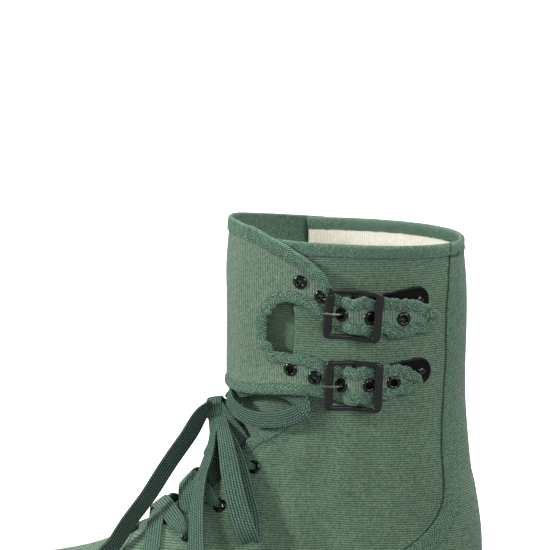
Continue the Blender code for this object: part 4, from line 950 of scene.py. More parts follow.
def make_sole():
    zf, zr = RING_FLOOR[:, 2], RING_RIM[:, 2]
    edge_x = RING_FLOOR[:, 0] + NORM_FLOOR[:, 0] * 4.2
    zb = under(edge_x)

    def low(out, z):
        return np.stack([RING_FLOOR[:, 0] + NORM_FLOOR[:, 0] * out,
                         RING_FLOOR[:, 1] + NORM_FLOOR[:, 1] * out, z], 1)

    def mixed(out_rim, out_floor, share, z):
        a = RING_RIM[:, :2] + NORM_RIM[:, :2] * out_rim
        b = RING_FLOOR[:, :2] + NORM_FLOOR[:, :2] * out_floor
        return np.concatenate([a * (1 - share) + b * share, z[:, None]], 1)
    tall = zr - (zb + 5.0)
    loops = [
        low(.45, zf - .3),
        mixed(.45, .45, 0.0, zr - .5),
        mixed(.8, .8, 0.0, zr - .05),
        mixed(1.8, 1.8, 0.0, zr + .05),
        mixed(2.7, 2.7, 0.0, zr - .35),
        mixed(3.0, 3.0, .02, zr - 1.2),
        mixed(3.05, 3.2, .12, zr - 4.6),
        mixed(2.45, 2.6, .16, zr - 5.1),
        mixed(2.45, 2.6, .20, zr - 6.0),
        mixed(3.1, 3.3, .24, zr - 6.5),
        mixed(3.2, 3.9, .55, zr - tall * .55),
        low(4.15, zb + 8.4),
        low(3.5, zb + 7.9),
        low(3.5, zb + 7.0),
        low(4.2, zb + 6.5),
        low(4.2, zb + 2.0),
        low(3.95, zb + .7),
        low(3.2, zb),
    ]
    count = len(loops)
    faces = []
    for k in range(count - 1):
        for i in range(RING_N):
            j = (i + 1) % RING_N
            a, b = k * RING_N, (k + 1) * RING_N
            faces.append((a + i, a + j, b + j, b + i))
    faces += ladder(0) + ladder((count - 1) * RING_N)
    sole = new_object("sole_rubber_cup", np.concatenate(loops), faces, [RUBBER])
    face_out(sole)
    cv, cf = [], []

    def add(part):
        v, f = part
        base = len(cv)
        cv.extend(v)
        cf.extend([tuple(base + i for i in t) for t in f])
    for x in [-121 + 11.5 * k for k in range(7)] + [75 + 12.0 * k for k in range(6)]:
        deep = float(under(x)) + 3.5
        add(box_mesh(x - 2.25, x + 2.25, -80, 80, -6, deep))
    arch = [(-40.0, -6.0), (-40.0, -.001), (-28.0, .9), (-8.0, 2.8), (18.0, 5.2),
            (42.0, 6.6), (61.0, 7.0), (61.0, -6.0)]
    n = len(arch)
    v = [(x, y, z) for y in (-80.0, 80.0) for x, z in arch]
    f = [tuple(range(n)), tuple(range(2 * n - 1, n - 1, -1))]
    f += [(i, (i + 1) % n, (i + 1) % n + n, i + n) for i in range(n)]
    add((v, f))
    boolean(sole, plain_object("tread_cutter", cv, cf))
    # narrow lengthwise channels through the lugs
    cv, cf = [], []
    for y0 in (-16.0, 3.0, 20.0):
        add(box_mesh(-118.0, -42.0, y0 - 1.1, y0 + 1.1, -6, 2.2))
    for y0 in (-12.5, 12.5):
        add(box_mesh(66.0, 132.0, y0 - 1.1, y0 + 1.1, -6, 2.2))
    boolean(sole, plain_object("channel_cutter", cv, cf))
    sole.data.shade_smooth()
    sole.data.set_sharp_from_angle(angle=math.radians(38))
    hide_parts("outsole")
    return sole


def make_insole():
    toe = np.clip((-126.0 - RING_FLOOR[:, :1]) / 14.0, 0, 1)
    inset = WALL + .9 + 1.8 * toe
    zf = RING_FLOOR[:, 2]

    def at(extra, z):
        p = RING_FLOOR - NORM_FLOOR * (inset + extra)
        p[:, 2] = z
        return p
    loops = [at(0.0, zf + .1), at(0.0, zf + 2.3), at(.35, zf + 2.9), at(1.2, zf + 3.1), at(4.0, zf + 3.0)]
    faces = []
    for k in range(len(loops) - 1):
        for i in range(RING_N):
            j = (i + 1) % RING_N
            a, b = k * RING_N, (k + 1) * RING_N
            faces.append((a + i, a + j, b + j, b + i))
    faces += ladder(0) + ladder((len(loops) - 1) * RING_N)
    v = np.concatenate(loops)
    weave_at = np.stack([v[:, 0], v[:, 1], np.zeros(len(v))], 1)
    far = np.full(len(v), -5.0)
    obj = new_object("insole_bed", v, faces, [LINING], None,
                     {"weave": weave_at, "tape_m": far, "tape_t": far * 0, "tape_w": far * 0})
    face_out(obj)
    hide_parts("insole")
    return obj


make_sole()
make_insole()

# ------------------------------------------------------------------ upper
THROAT = (
    (117.0, 0.0, 0.0),
    (118.2, -.040, .040),
    (121.5, -.066, .066),
    (128.0, -.085, .086),
    (140.0, -.119, .121),
    (150.0, -.134, .137),
    (164.0, -.146, .150),
    (199.0, -.124, .128),
    (232.0, -.117, .121),
    (254.0, -.125, .131),
    (276.6, -.177, .185),
    (294.4, -.228, .240),
    (312.3, -.281, .300),
    (322.0, -.315, .342),
    (328.0, -.326, .356),
    (336.0, -.317, .358),
    (346.0, -.311, .358),
    (384.0, -.317, .364),
    (406.0, -.287, .366),
    (COLLAR_U, -.243, .367),
)
# Front edge of the back panel, as seen from either side; its tape lies behind it.
BACK_EDGE = ((129.2, 229.0), (128.4, 219.9), (126.9, 196.1), (126.5, 170.4), (125.2, 144.4),
             (124.6, 124.1), (125.3, 108.8), (126.0, 98.8), (124.6, 89.4), (118.8, 79.6), (111.0, 72.4),
             (102.8, 66.8), (92.4, 59.6), (80.4, 51.6), (66.8, 44.0), (51.6, 37.6), (36.0, 32.0),
             (20.0, 27.0))
# Seam of the vamp under the quarters, as seen from either side.
VAMP_EDGE = ((-31.4, 73.5), (-34.6, 68.5), (-39.6, 62.0), (-45.0, 55.0), (-50.5, 46.5), (-54.5, 38.0),
             (-57.0, 30.0), (-58.5, 22.0))
BACK_TAPE, COLLAR_TAPE, FACING_TAPE = 10.2, 6.5, 6.0


def facing_line(column, step=.6):
    rows = np.array([(r[0], r[column]) for r in THROAT])
    us = spline_line(flat(rows), step) / (1.0, S_MM)
    return us


def arc_of_heel():
    """Length round the heel from its widest place, by the angle, for even weave."""
    a, b = 68.0, 40.0
    f = np.linspace(0, math.pi / 2, 200)
    step = np.sqrt((a * np.cos(f))**2 + (b * np.sin(f))**2)
    return f, np.concatenate([[0], np.cumsum((step[1:] + step[:-1]) / 2 * np.diff(f))])


HEEL_F, HEEL_ARC = arc_of_heel()


def level_length(p):
    """Length round the boot at one height, from x = 78."""
    x, y = p[:, 0], p[:, 1]
    f = np.arctan2(np.maximum(x - 78.0, 0) / 68.0, np.maximum(np.abs(y), 1e-6) / 40.0)
    return np.where(x < 78.0, x - 78.0, np.interp(f, HEEL_F, HEEL_ARC))


def edge_x(table, z):
    t = np.array(sorted((b, a) for a, b in table))
    return np.interp(z, t[:, 0], t[:, 1])


def creases(p, n):
    """Soft folds of the worn canvas: x and z of the middle, half length, half width,
    lean in degrees, depth in mm, side (-1 lateral, 1 medial)."""
    rows = (
        (44.0, 118.0, 16.0, 4.2, 62.0, -1.0, -1), (52.0, 112.0, 18.0, 4.0, 64.0, .8, -1),
        (64.0, 108.0, 20.0, 5.0, 70.0, -.8, -1), (76.0, 116.0, 24.0, 6.0, 82.0, .6, -1),
        (92.0, 112.0, 22.0, 5.0, 95.0, -.6, -1), (106.0, 130.0, 26.0, 5.5, 92.0, -.5, -1),
        (40.0, 96.0, 16.0, 4.5, 35.0, -.7, -1), (58.0, 88.0, 20.0, 5.0, 25.0, .5, -1),
        (100.0, 176.0, 16.0, 6.0, 80.0, -.5, -1), (60.0, 182.0, 14.0, 5.0, 15.0, -.5, -1),
        (116.0, 150.0, 30.0, 5.0, 88.0, .5, -1),
        (47.0, 104.0, 20.0, 9.0, 122.0, -2.6, -1), (53.0, 78.0, 22.0, 8.0, 108.0, 1.9, -1),
        (67.5, 83.0, 24.0, 9.0, 110.0, -2.4, -1), (57.5, 143.0, 6.5, 5.0, 5.0, -2.6, -1),
        (62.0, 127.0, 14.0, 6.0, 150.0, -1.2, -1), (52.0, 183.0, 12.0, 9.0, 0.0, -.8, -1),
        (46.0, 116.0, 18.0, 4.5, 60.0, -1.0, 1), (60.0, 110.0, 20.0, 5.0, 66.0, .8, 1),
        (80.0, 116.0, 24.0, 6.0, 84.0, -.7, 1), (100.0, 126.0, 26.0, 6.0, 95.0, .5, 1),
        (96.0, 180.0, 22.0, 6.0, 70.0, -.6, 1), (-20.0, 40.0, 14.0, 5.0, 80.0, -.6, -1),
        (-46.0, 40.0, 12.0, 4.5, 70.0, -.7, -1), (-46.0, 38.0, 12.0, 4.5, 70.0, -.7, 1),
        (-22.0, 38.0, 14.0, 5.0, 80.0, -.6, 1),
    )
    out = np.zeros(len(p))
    for x, z, a, b, lean, deep, side in rows:
        t = math.radians(lean)
        dx, dz = p[:, 0] - x, p[:, 2] - z
        along, off = dx * math.cos(t) + dz * math.sin(t), -dx * math.sin(t) + dz * math.cos(t)
        out += deep * np.exp(-(along / a)**2 - (off / b)**2) * smooth(side * p[:, 1] / 8.0)
    # flex folds across the vamp behind the toe
    for x, deep in ((-92.0, -.7), (-86.0, .5), (-80.0, -.5)):
        out += deep * hump(p[:, 0] + .12 * np.abs(p[:, 1]), x, 2.6) * smooth((p[:, 2] - 34) / 12)
    return out


def upper_fields(u, s):
    """Tape, panels and heights over the form of the upper's outer face."""
    p, n = point(u, s), normal_at(u, s)
    best = np.full(len(u), -9.0)
    t_of, w_of = np.zeros(len(u)), np.zeros(len(u))
    rail = []
    cs = np.linspace(THROAT[-1][1], -1, 260)
    cm = np.linspace(1, THROAT[-1][2], 260)
    collar = point(np.full(520, COLLAR_U), np.concatenate([cs, cm]))
    t, d = line_field(p, collar)
    rail.append((COLLAR_TAPE - d, t, d))
    for column, sign in ((1, -1), (2, 1)):
        us = facing_line(column)
        t, d = line_field(p, point(us[:, 0], us[:, 1]))
        ends = np.minimum(152.0 - p[:, 2], p[:, 2] - 116.0)
        rail.append((np.minimum(FACING_TAPE - d, ends), t, d))
    for side in (-1, 1):
        xz = spline_line(BACK_EDGE, .6)
        bu, bs = side_us(xz[:, 0], xz[:, 1], side)
        t, d = line_field(p, point(bu, bs))
        behind = p[:, 0] > edge_x(BACK_EDGE, p[:, 2])
        d = np.where(behind, d, -d)
        m = np.where(p[:, 1] * side > -2.0, np.minimum(d, BACK_TAPE - d), -9.0)
        rail.append((m, t, np.abs(d)))
        if side < 0:
            back = np.where(p[:, 1] < 0, d, -99.0)
        else:
            back = np.where(p[:, 1] >= 0, d, back)
    for m, t, w in rail:
        take = (m > best) & ((best < 0) | (m > 0) & (best < 0))
        best = np.where(take, m, best)
        t_of, w_of = np.where(take, t, t_of), np.where(take, w, w_of)
    vamp = edge_x(VAMP_EDGE, p[:, 2]) - p[:, 0]      # above 0 on the vamp
    raise_ = .55 * smooth((best + .15) / .75) + .40 * smooth((back + .3) / .7)
    raise_ += .45 * smooth((-vamp + .3) / .8)
    body = np.maximum(creases(p, n), -3.4) * (1 - .75 * smooth((best + 1.5) / 3.0))
    body += .7 * smooth((104.0 - p[:, 2]) / 9.0) * smooth((p[:, 0] - 122.0) / 14.0)
    wob = np.array([noise.noise(Vector((a[0] * .035, a[1] * .035, a[2] * .035))) for a in p])
    body += .55 * wob
    # the collar's binding is folded over at the back seam
    body += .9 * hump(p[:, 1], 0.0, 3.2) * smooth((p[:, 2] - 221.0) / 5.0) * (p[:, 0] > 110.0)
    lumps = np.array([noise.noise(Vector((a[0] * .33, a[1] * .33, a[2] * .33))) for a in p])
    raise_ += .22 * lumps * smooth((best - .2) / .8)
    return {"p": p, "n": n, "tape_m": best, "tape_t": t_of, "tape_w": w_of, "vamp": vamp,
            "seam": np.where(np.abs(back) < np.abs(vamp), back, vamp),
            "back": back, "collar_d": COLLAR_TAPE - rail[0][0], "high": raise_ + body - .45}


def make_upper():
    u_floor, u_rim = LINES["floor", 1][-1][0], LINES["rim", 1][-1][0]
    step = 2.3
    lat, med = LINES["floor", -1][::2], LINES["floor", 1][::2]
    seam = np.linspace(u_floor, COLLAR_U, int((COLLAR_U - u_floor) / step) + 1)
    fl, fm = facing_line(1, step), facing_line(2, step)

    def across(a, b):
        n = int(abs(b - a) * S_MM / step) + 1
        return [(COLLAR_U, s) for s in np.linspace(a, b, n)]
    toe_n = 26
    toe = [(0.0, s) for s in np.linspace(med[0][1], lat[0][1], toe_n)]
    us = ([tuple(p) for p in lat] + [(u, -1.0) for u in seam[1:]] + across(-1.0, fl[-1][1])[1:]
          + [tuple(p) for p in fl[-2::-1]] + [tuple(p) for p in fm[1:]] + across(fm[-1][1], 1.0)[1:]
          + [(u, 1.0) for u in seam[-2::-1]] + [tuple(p) for p in med[::-1][1:]] + toe[1:-1])
    holes = []
    for u, a, b in LACE_EYELETS:
        holes += [flat(disc_us(u, a, 2.4)), flat(disc_us(u, b, 2.4))]
    tree = kdtree.KDTree(4000)
    count = 0
    xz = spline_line(BACK_EDGE, 1.5)
    for side in (-1, 1):
        bu, bs = side_us(xz[:, 0], xz[:, 1], side)
        for a, b in zip(bu, bs):
            tree.insert((a, b * S_MM, 0.0), count)
            count += 1
    for line in (fl, fm):
        for a, b in line:
            tree.insert((a, b * S_MM, 0.0), count)
            count += 1
    tree.balance()

    def detail(q):
        near = np.array([tree.find((a, b, 0.0))[2] for a, b in q])
        return (near < 9.0) | (q[:, 0] > COLLAR_U - 9.5)
    v, f = triangulate(flat(us), holes, step, fine=(1.45, detail))
    u, s = v[:, 0], v[:, 1] / S_MM
    g = upper_fields(u, s)
    edge = np.minimum(g["collar_d"], 3.0)
    roll = .8 * (1 - np.sqrt(np.clip(1 - (1 - np.clip(edge / 1.6, 0, 1))**2, 0, 1)))
    outer = g["p"] + g["n"] * (g["high"] - roll)[:, None]
    inner_off = -WALL + np.minimum(g["high"] + .45, 0.0) - .25 * smooth((6.6 - g["collar_d"]) / .8) + roll
    inner = g["p"] + g["n"] * inner_off[:, None]
    z = g["p"][:, 2]
    # the two halves meet along the back, and the toe is closed
    twin = {}
    for i in np.where(np.abs(s) > 1 - 1e-6)[0]:
        twin.setdefault(round(float(u[i]), 3), []).append(i)
    index = np.arange(len(u))
    for pair in twin.values():
        if len(pair) == 2:
            index[pair[1]] = pair[0]
            for layer in (outer, inner):
                layer[pair[0]] = (layer[pair[0]] + layer[pair[1]]) / 2
                layer[pair[0]][1] = 0.0
    f = index[f]
    tip = sorted(np.where(u < 1e-6)[0], key=lambda i: s[i])
    a, b = 0, len(tip) - 1
    cap = []
    while b - a > 1:
        cap.append((tip[a], tip[a + 1], tip[b]))
        a += 1
        if b - a > 1:
            cap.append((tip[a], tip[b - 1], tip[b]))
            b -= 1
    f = np.concatenate([f, np.array(cap)])
    n = len(u)
    runs = edge_runs(f)
    faces = np.concatenate([f, f[:, ::-1] + n])
    walls = []
    for a, b in runs:
        walls += [(b, a, a + n), (b, a + n, b + n)]
    kinds = np.concatenate([np.zeros(len(f)), np.ones(len(f)), np.zeros(len(walls))]).astype(int)
    verts = np.concatenate([outer, inner])
    used = np.unique(np.concatenate([faces.ravel(), np.array(walls).ravel()]))
    remap = np.full(len(verts), -1)
    remap[used] = np.arange(len(used))
    all_faces = remap[np.concatenate([faces, np.array(walls)])]
    p = g["p"]
    on_vamp = g["vamp"] > 0
    w_along = np.where(on_vamp, s * 140.0, level_length(p))
    w_across = np.where(on_vamp, u, p[:, 2])
    weave_o = np.stack([w_along, w_across, np.zeros(n)], 1)
    weave_i = np.stack([w_across, w_along, np.zeros(n)], 1)
    tape_in = 6.4 - g["collar_d"]
    attrs = {
        "weave": np.concatenate([weave_o, weave_i])[used],
        "tape_m": np.concatenate([g["tape_m"], tape_in])[used],
        "tape_t": np.concatenate([g["tape_t"], g["tape_t"]])[used],
        "tape_w": np.concatenate([g["tape_w"], g["collar_d"]])[used],
        "seam_d": np.concatenate([g["seam"], np.full(n, 9.0)])[used],
    }
    obj = new_object("upper_canvas", verts[used], all_faces, [QUARTER, LINING], kinds, attrs)
    face_out(obj)
    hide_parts("upper")
    return outer, f, g["n"], g["tape_m"], g["vamp"]


UPPER_MESH = make_upper()

# ------------------------------------------------------------------ tongue
TONGUE = ((102.0, .07), (108.0, .14), (126.0, .18), (180.0, .195), (235.0, .22), (275.0, .31),
          (310.0, .40), (340.0, .44), (392.0, .44), (402.0, .36), (405.0, .20))


def make_tongue():
    lat = [(u, -h) for u, h in TONGUE]
    med = [(u, h) for u, h in TONGUE[::-1]]
    poly = resample(flat(lat + med), 3.0)
    v, f = triangulate(poly, [], 3.2)
    u, s = v[:, 0], v[:, 1] / S_MM
    p, n = point(u, s), normal_at(u, s)
    wave = np.array([noise.noise(Vector((a[0] * .05, a[1] * .05, a[2] * .05 + 7.0))) for a in p])
    high = -3.6 + .35 * wave + .5 * hump(u, 262, 7) - .4 * hump(u, 250, 6)
    outer, inner = p + n * high[:, None], p + n * (high - 1.0)[:, None]
    k = len(u)
    faces = [tuple(t) for t in f] + [tuple(t[::-1] + k) for t in f]
    for a, b in edge_runs(f):
        faces += [(b, a, a + k), (b, a + k, b + k)]
    w = np.stack([s * 165.0, np.where(u < 240, u, p[:, 2] + 120.0), np.zeros(k)], 1)
    obj = new_object("tongue_cloth", np.concatenate([outer, inner]), faces, [TONGUE_LOOK], None,
                     {"weave": np.concatenate([w, w])})
    face_out(obj)
    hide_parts("tongue")
    return obj


make_tongue()

# ------------------------------------------------------------------ cuff flap
BUCKLES = (
    ("upper", 79.5, 192.3, -5.0, 112.5, 198.7, .1),
    ("lower", 79.9, 155.6, -1.5, 113.8, 161.9, 0.0),
)
STRAPS_PART_Z = 174.0
STRAP_LIFT = natural_spline((-30, -20, -13, -10, -7, -4, 0, 5, 10, 13, 20, 50),
                            (.5, .5, .5, .5, 1.1, 2.8, 4.0, 3.3, 2.0, 1.8, 1.8, 1.8))
TUCK_LIFT, FLAP_LIFT, ROUND_MM = 3.1, .5, 160.0
# Outline with the width of its tape. "r": place round the shaft and height;
# "s": x and height as seen from the lateral side.
FLAP = (
    ("r", .470, 150.5, 5.6), ("r", .470, 189.0, -3.0), ("r", .470, 227.0, 7.4),
    ("r", .36, 228.6, 7.4), ("r", .20, 231.6, 7.4), ("r", .08, 234.6, 7.4),
    ("r", -.05, 235.4, 7.4), ("s", 25.0, 235.3, 7.4), ("s", 32.6, 233.6, 7.4),
    ("s", 39.3, 230.5, 7.4), ("s", 48.8, 225.8, 7.2), ("s", 55.5, 221.2, 7.0),
    ("s", 62.2, 216.3, 6.6), ("s", 66.1, 212.4, 6.2), ("s", 68.3, 207.6, 5.8),
    ("s", 69.9, 203.4, 5.8), ("s", 74.4, 201.8, 5.8), ("s", 85.1, 201.2, 5.8),
    ("s", 94.3, 200.6, 5.8), ("s", 106.8, 199.4, 5.8), ("s", 114.6, 197.2, 5.8),
    ("s", 119.6, 193.4, 5.8), ("s", 121.6, 188.3, 5.8), ("s", 118.0, 182.4, 5.8),
    ("s", 112.0, 180.6, 5.8), ("s", 102.2, 180.4, 5.8), ("s", 92.0, 181.4, 5.8),
    ("s", 83.8, 182.2, 5.8), ("s", 76.0, 183.0, 5.8), ("s", 69.7, 184.6, 5.7),
    ("s", 64.3, 188.2, 5.7), ("s", 59.6, 192.4, 5.8), ("s", 55.2, 195.8, 6.0),
    ("s", 49.6, 197.2, 6.0), ("s", 43.2, 196.8, 5.9), ("s", 38.8, 193.2, 5.8),
    ("s", 37.2, 186.5, 5.6), ("s", 37.2, 179.5, 5.6), ("s", 39.0, 173.2, 5.6),
    ("s", 43.2, 171.4, 5.6), ("s", 49.7, 170.6, 5.6), ("s", 56.0, 170.9, 5.6),
    ("s", 60.4, 169.6, 5.7), ("s", 64.3, 167.4, 5.8), ("s", 68.3, 165.8, 5.8),
    ("s", 78.1, 165.1, 5.8), ("s", 89.8, 165.7, 5.8), ("s", 99.9, 166.1, 5.8),
    ("s", 105.2, 165.2, 5.8), ("s", 109.8, 162.8, 5.8), ("s", 112.9, 159.4, 5.8),
    ("s", 113.8, 156.8, 5.8), ("s", 112.8, 153.2, 5.8), ("s", 109.0, 150.8, 5.8),
    ("s", 102.5, 149.2, 5.8), ("s", 94.3, 148.0, 5.8), ("s", 84.1, 145.8, 5.8),
    ("s", 77.0, 145.8, 5.8), ("s", 69.9, 147.4, 5.8), ("s", 62.5, 148.2, 5.7),
    ("s", 53.7, 149.8, 5.6), ("s", 46.4, 149.8, 5.6), ("s", 39.1, 149.0, 5.6),
    ("s", 29.4, 147.9, 5.6), ("r", -.06, 146.9, 5.6), ("r", .08, 147.1, 5.6),
    ("r", .22, 148.5, 5.6), ("r", .36, 149.9, 5.6),
)
STRAP_EYELETS = (
    ("upper", ((53.6, 208.1), (64.0, 201.2), (73.8, 192.4), (88.1, 190.6), (104.0, 189.6))),
    ("lower", ((48.9, 162.6), (60.7, 159.1), (73.8, 155.7), (87.6, 155.8), (99.5, 156.9))),
)
CANVAS_UP, TAPE_UP = 1.75, .55      # cloth over the flap's inner face, tape over the cloth


def flap_low(u, s):
    """Inner face of the flap and its straps above the form."""
    p = blend(LAT_P, u, s)
    x, z = p[..., 0], p[..., 2]
    middle = np.where(z > STRAPS_PART_Z, BUCKLES[0][1], BUCKLES[1][1])
    along = (x - middle) * 1.05
    lift = np.where((np.asarray(s) < 0) & (along > -20), STRAP_LIFT(along), FLAP_LIFT)
    place = smooth((-np.asarray(s) - .055) / .06) * smooth((.37 + np.asarray(s)) / .05)
    return lift + (TUCK_LIFT - FLAP_LIFT) * smooth((159.0 - z) / 7.0) * place


def shaft_u(s, z):
    """u of the shaft's points at heights z and places s round it."""
    u = np.full(len(s), 340.0)
    for _ in range(25):
        slope = (blend(LAT_P, u + 1, s) - blend(LAT_P, u - 1, s))[:, 2] / 2
        u = np.clip(u + (z - blend(LAT_P, u, s)[:, 2]) / np.maximum(slope, .25), 150, U_END)
    return u


def rounded_off(pts, times=2):
    """Closed polygon with its corners cut."""
    for _ in range(times):
        nxt = np.roll(pts, -1, axis=0)
        pts = np.stack([pts * .75 + nxt * .25, pts * .25 + nxt * .75], 1).reshape(-1, pts.shape[1])
    return pts


def closed_even(pts, step):
    loop = even_line(np.concatenate([pts, pts[:1]]), step)
    return loop[:-1]


def flap_outline(step):
    """Outline on the chart (place round the shaft in mm, height), with tape widths."""
    rows = []
    for view, a, z, w in FLAP:
        if view == "r":
            rows.append((a * ROUND_MM, z, w * .1))
        else:
            u, s = side_us(a, z)
            rows.append((float(s[0]) * ROUND_MM, z, w * .1))
    loop = closed_even(rounded_off(np.array(rows)), step)
    t = np.roll(loop[:, :2], -1, axis=0) - np.roll(loop[:, :2], 1, axis=0)
    t /= np.linalg.norm(t, axis=1, keepdims=True)
    n = np.stack([-t[:, 1], t[:, 0]], 1)
    if not inside(loop[:, :2], loop[:1, :2] + n[:1] * .4)[0]:
        n = -n
    run = np.arange(len(loop)) * step
    wave = .8 * np.array([noise.noise(Vector((r * .13, 3.1, 0.0))) for r in run])
    wave += np.array([noise.noise(Vector((r * .36, 9.7, 0.0))) for r in run])
    # most ragged where the binding turns round the keyhole and the strap ends
    x, z = loop[:, 0] / ROUND_MM, loop[:, 1]
    much = .5 + 2.3 * hump(x, -.235, .055) * hump(z, 184.0, 17.0) + 1.1 * hump(x, -.60, .16) * (z < 205)
    free = (loop[:, 0] < 20).astype(float)
    loop[:, :2] += n * (wave * much * free)[:, None]
    return loop, n


def make_flap():
    loop, n = flap_outline(1.05)
    outline = loop[:, :2]
    extra = np.concatenate([outline + n * d for d in (.32, .8, 1.5)])
    holes = []
    for _, places in STRAP_EYELETS:
        for x, z in places:
            u, s = side_us(x, z)
            d = disc_us(float(u[0]), float(s[0]), 2.3)
            holes.append(np.stack([d[:, 1] * ROUND_MM, point(d[:, 0], d[:, 1])[:, 2]], 1))
    extra = extra[inside(outline, extra)]
    for h in holes:
        extra = extra[np.linalg.norm(extra - h.mean(0), axis=1) > 3.0]
    v, f = triangulate(outline, holes, 1.3, chains=[[p] for p in extra])
    s = v[:, 0] / ROUND_MM
    u = shaft_u(s, v[:, 1])
    p, nrm = point(u, s), normal_at(u, s)
    fine, _ = flap_outline(.5)
    fu = shaft_u(fine[:, 0] / ROUND_MM, fine[:, 1])
    line = point(fu, fine[:, 0] / ROUND_MM)
    t, d = line_field(p, line, True)
    tree = kdtree.KDTree(len(line))
    for i, q in enumerate(line):
        tree.insert(q, i)
    tree.balance()
    wide = fine[np.array([tree.find(q)[1] for q in p]), 2] * 10.0
    seam = (v[:, 0] > .4699 * ROUND_MM - 12) & (v[:, 1] > 152) & (v[:, 1] < 224)
    m = wide - d
    low = flap_low(u, s)
    near_buckle = (np.abs(p[:, 0] - 79.7) < 17) & (s < 0)
    wob = np.array([noise.noise(Vector((q[0] * .045, q[1] * .045, q[2] * .045 + 3.0))) for q in p])
    fold = np.zeros(len(p))
    # soft dents and ridges of the cloth: s, z, half width round, half height, lean, depth
    for s0, z0, a, b, lean, deep in (
            (-.13, 205.0, 5.0, 26.0, 4.0, .7), (-.06, 190.0, 4.5, 30.0, -3.0, -.6),
            (-.20, 178.0, 4.0, 18.0, 8.0, -.7), (-.02, 170.0, 5.0, 20.0, 5.0, .6),
            (.10, 195.0, 6.0, 30.0, -4.0, .6), (.22, 190.0, 6.0, 32.0, 3.0, -.6),
            (-.33, 214.0, 4.0, 14.0, 55.0, -.6), (-.30, 160.0, 3.5, 12.0, 85.0, .5),
            (.34, 188.0, 5.0, 26.0, -5.0, .5)):
        c, q = math.cos(math.radians(lean)), math.sin(math.radians(lean))
        dx, dz = v[:, 0] - s0 * ROUND_MM, v[:, 1] - z0
        fold += deep * np.exp(-((dx * c + dz * q) / a)**2 - ((-dx * q + dz * c) / b)**2)
    soft = np.where(near_buckle, .12, .45) * wob + np.maximum(fold, -.35) * np.where(near_buckle, 0, 1)
    soft += (.5 + 1.1 * smooth((v[:, 1] - 165.0) / 45.0)) * hump(s, .0, .12)
    # the front edge stands off the collar beside it
    soft += 1.7 * smooth((-.17 - s) / .08) * hump(v[:, 1], 214.0, 15.0) * smooth((9.0 - d) / 7.0)
    soft += 1.5 * hump(s, -.225, .075) * hump(v[:, 1], 184.0, 19.0) * smooth((10.0 - d) / 8.0)
    low = np.maximum(low + soft, .32 + .0 * low)
    lumps = np.array([noise.noise(Vector((q[0] * .33, q[1] * .33, q[2] * .33 + 5.0))) for q in p])
    dome = np.sqrt(np.clip(1 - (2 * np.clip(m / wide, 0, 1) - 1)**2, 0, 1))
    up = CANVAS_UP + smooth((m + .15) / .8) * (TAPE_UP * .55 + .55 * dome + .24 * lumps)
    r = 1.05
    drop = r * (1 - np.sqrt(np.clip(1 - (1 - np.clip(d / r, 0, 1))**2, 0, 1)))
    outer = p + nrm * (low + up - drop)[:, None]
    inner = p + nrm * (low + drop * .9)[:, None]
    k = len(u)
    faces = [tuple(q) for q in f] + [tuple(q[::-1] + k) for q in f]
    for a, b in edge_runs(f):
        faces += [(b, a, a + k), (b, a + k, b + k)]
    weave_at = np.stack([v[:, 1], v[:, 0], np.zeros(k)], 1)
    two = lambda x: np.concatenate([x, x])
    # inside, a broad band of the same tape faces the top edge
    m_in = np.where(v[:, 1] > 205.0, np.maximum(m, m + 9.0), m)
    obj = new_object("cuff_flap_cloth", np.concatenate([outer, inner]), faces, [FLAP_LOOK], None,
                     {"weave": two(weave_at), "tape_m": np.concatenate([m, m_in]),
                      "tape_t": two(t), "tape_w": two(d)})
    face_out(obj)
    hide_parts("cuff_flap")
    return outer, inner, f, nrm, m, d


FLAP_MESH = make_flap()

# ------------------------------------------------------------------ stitches
def level_lines(f, value, level):
    """Runs of points where a value given at mesh points has this level, as pairs of mesh
    points and the share of the second one."""
    steps = {}
    for tri in f:
        cut = []
        for a, b in ((tri[0], tri[1]), (tri[1], tri[2]), (tri[2], tri[0])):
            if (value[a] > level) != (value[b] > level):
                cut.append((min(a, b), max(a, b)))
        if len(cut) == 2:
            steps.setdefault(cut[0], []).append(cut[1])
            steps.setdefault(cut[1], []).append(cut[0])
    left, runs = set(steps), []
    for start in sorted(steps, key=lambda k: (len(steps[k]), k)):
        if start not in left:
            continue
        run, at = [start], start
        left.discard(start)
        while True:
            nxt = [k for k in steps[at] if k in left]
            if not nxt:
                break
            at = nxt[0]
            left.discard(at)
            run.append(at)
        if len(steps[start]) == 2 and start in steps[at] and len(run) > 8:
            run.append(start)
        if len(run) > 3:
            runs.append(run)
    return runs


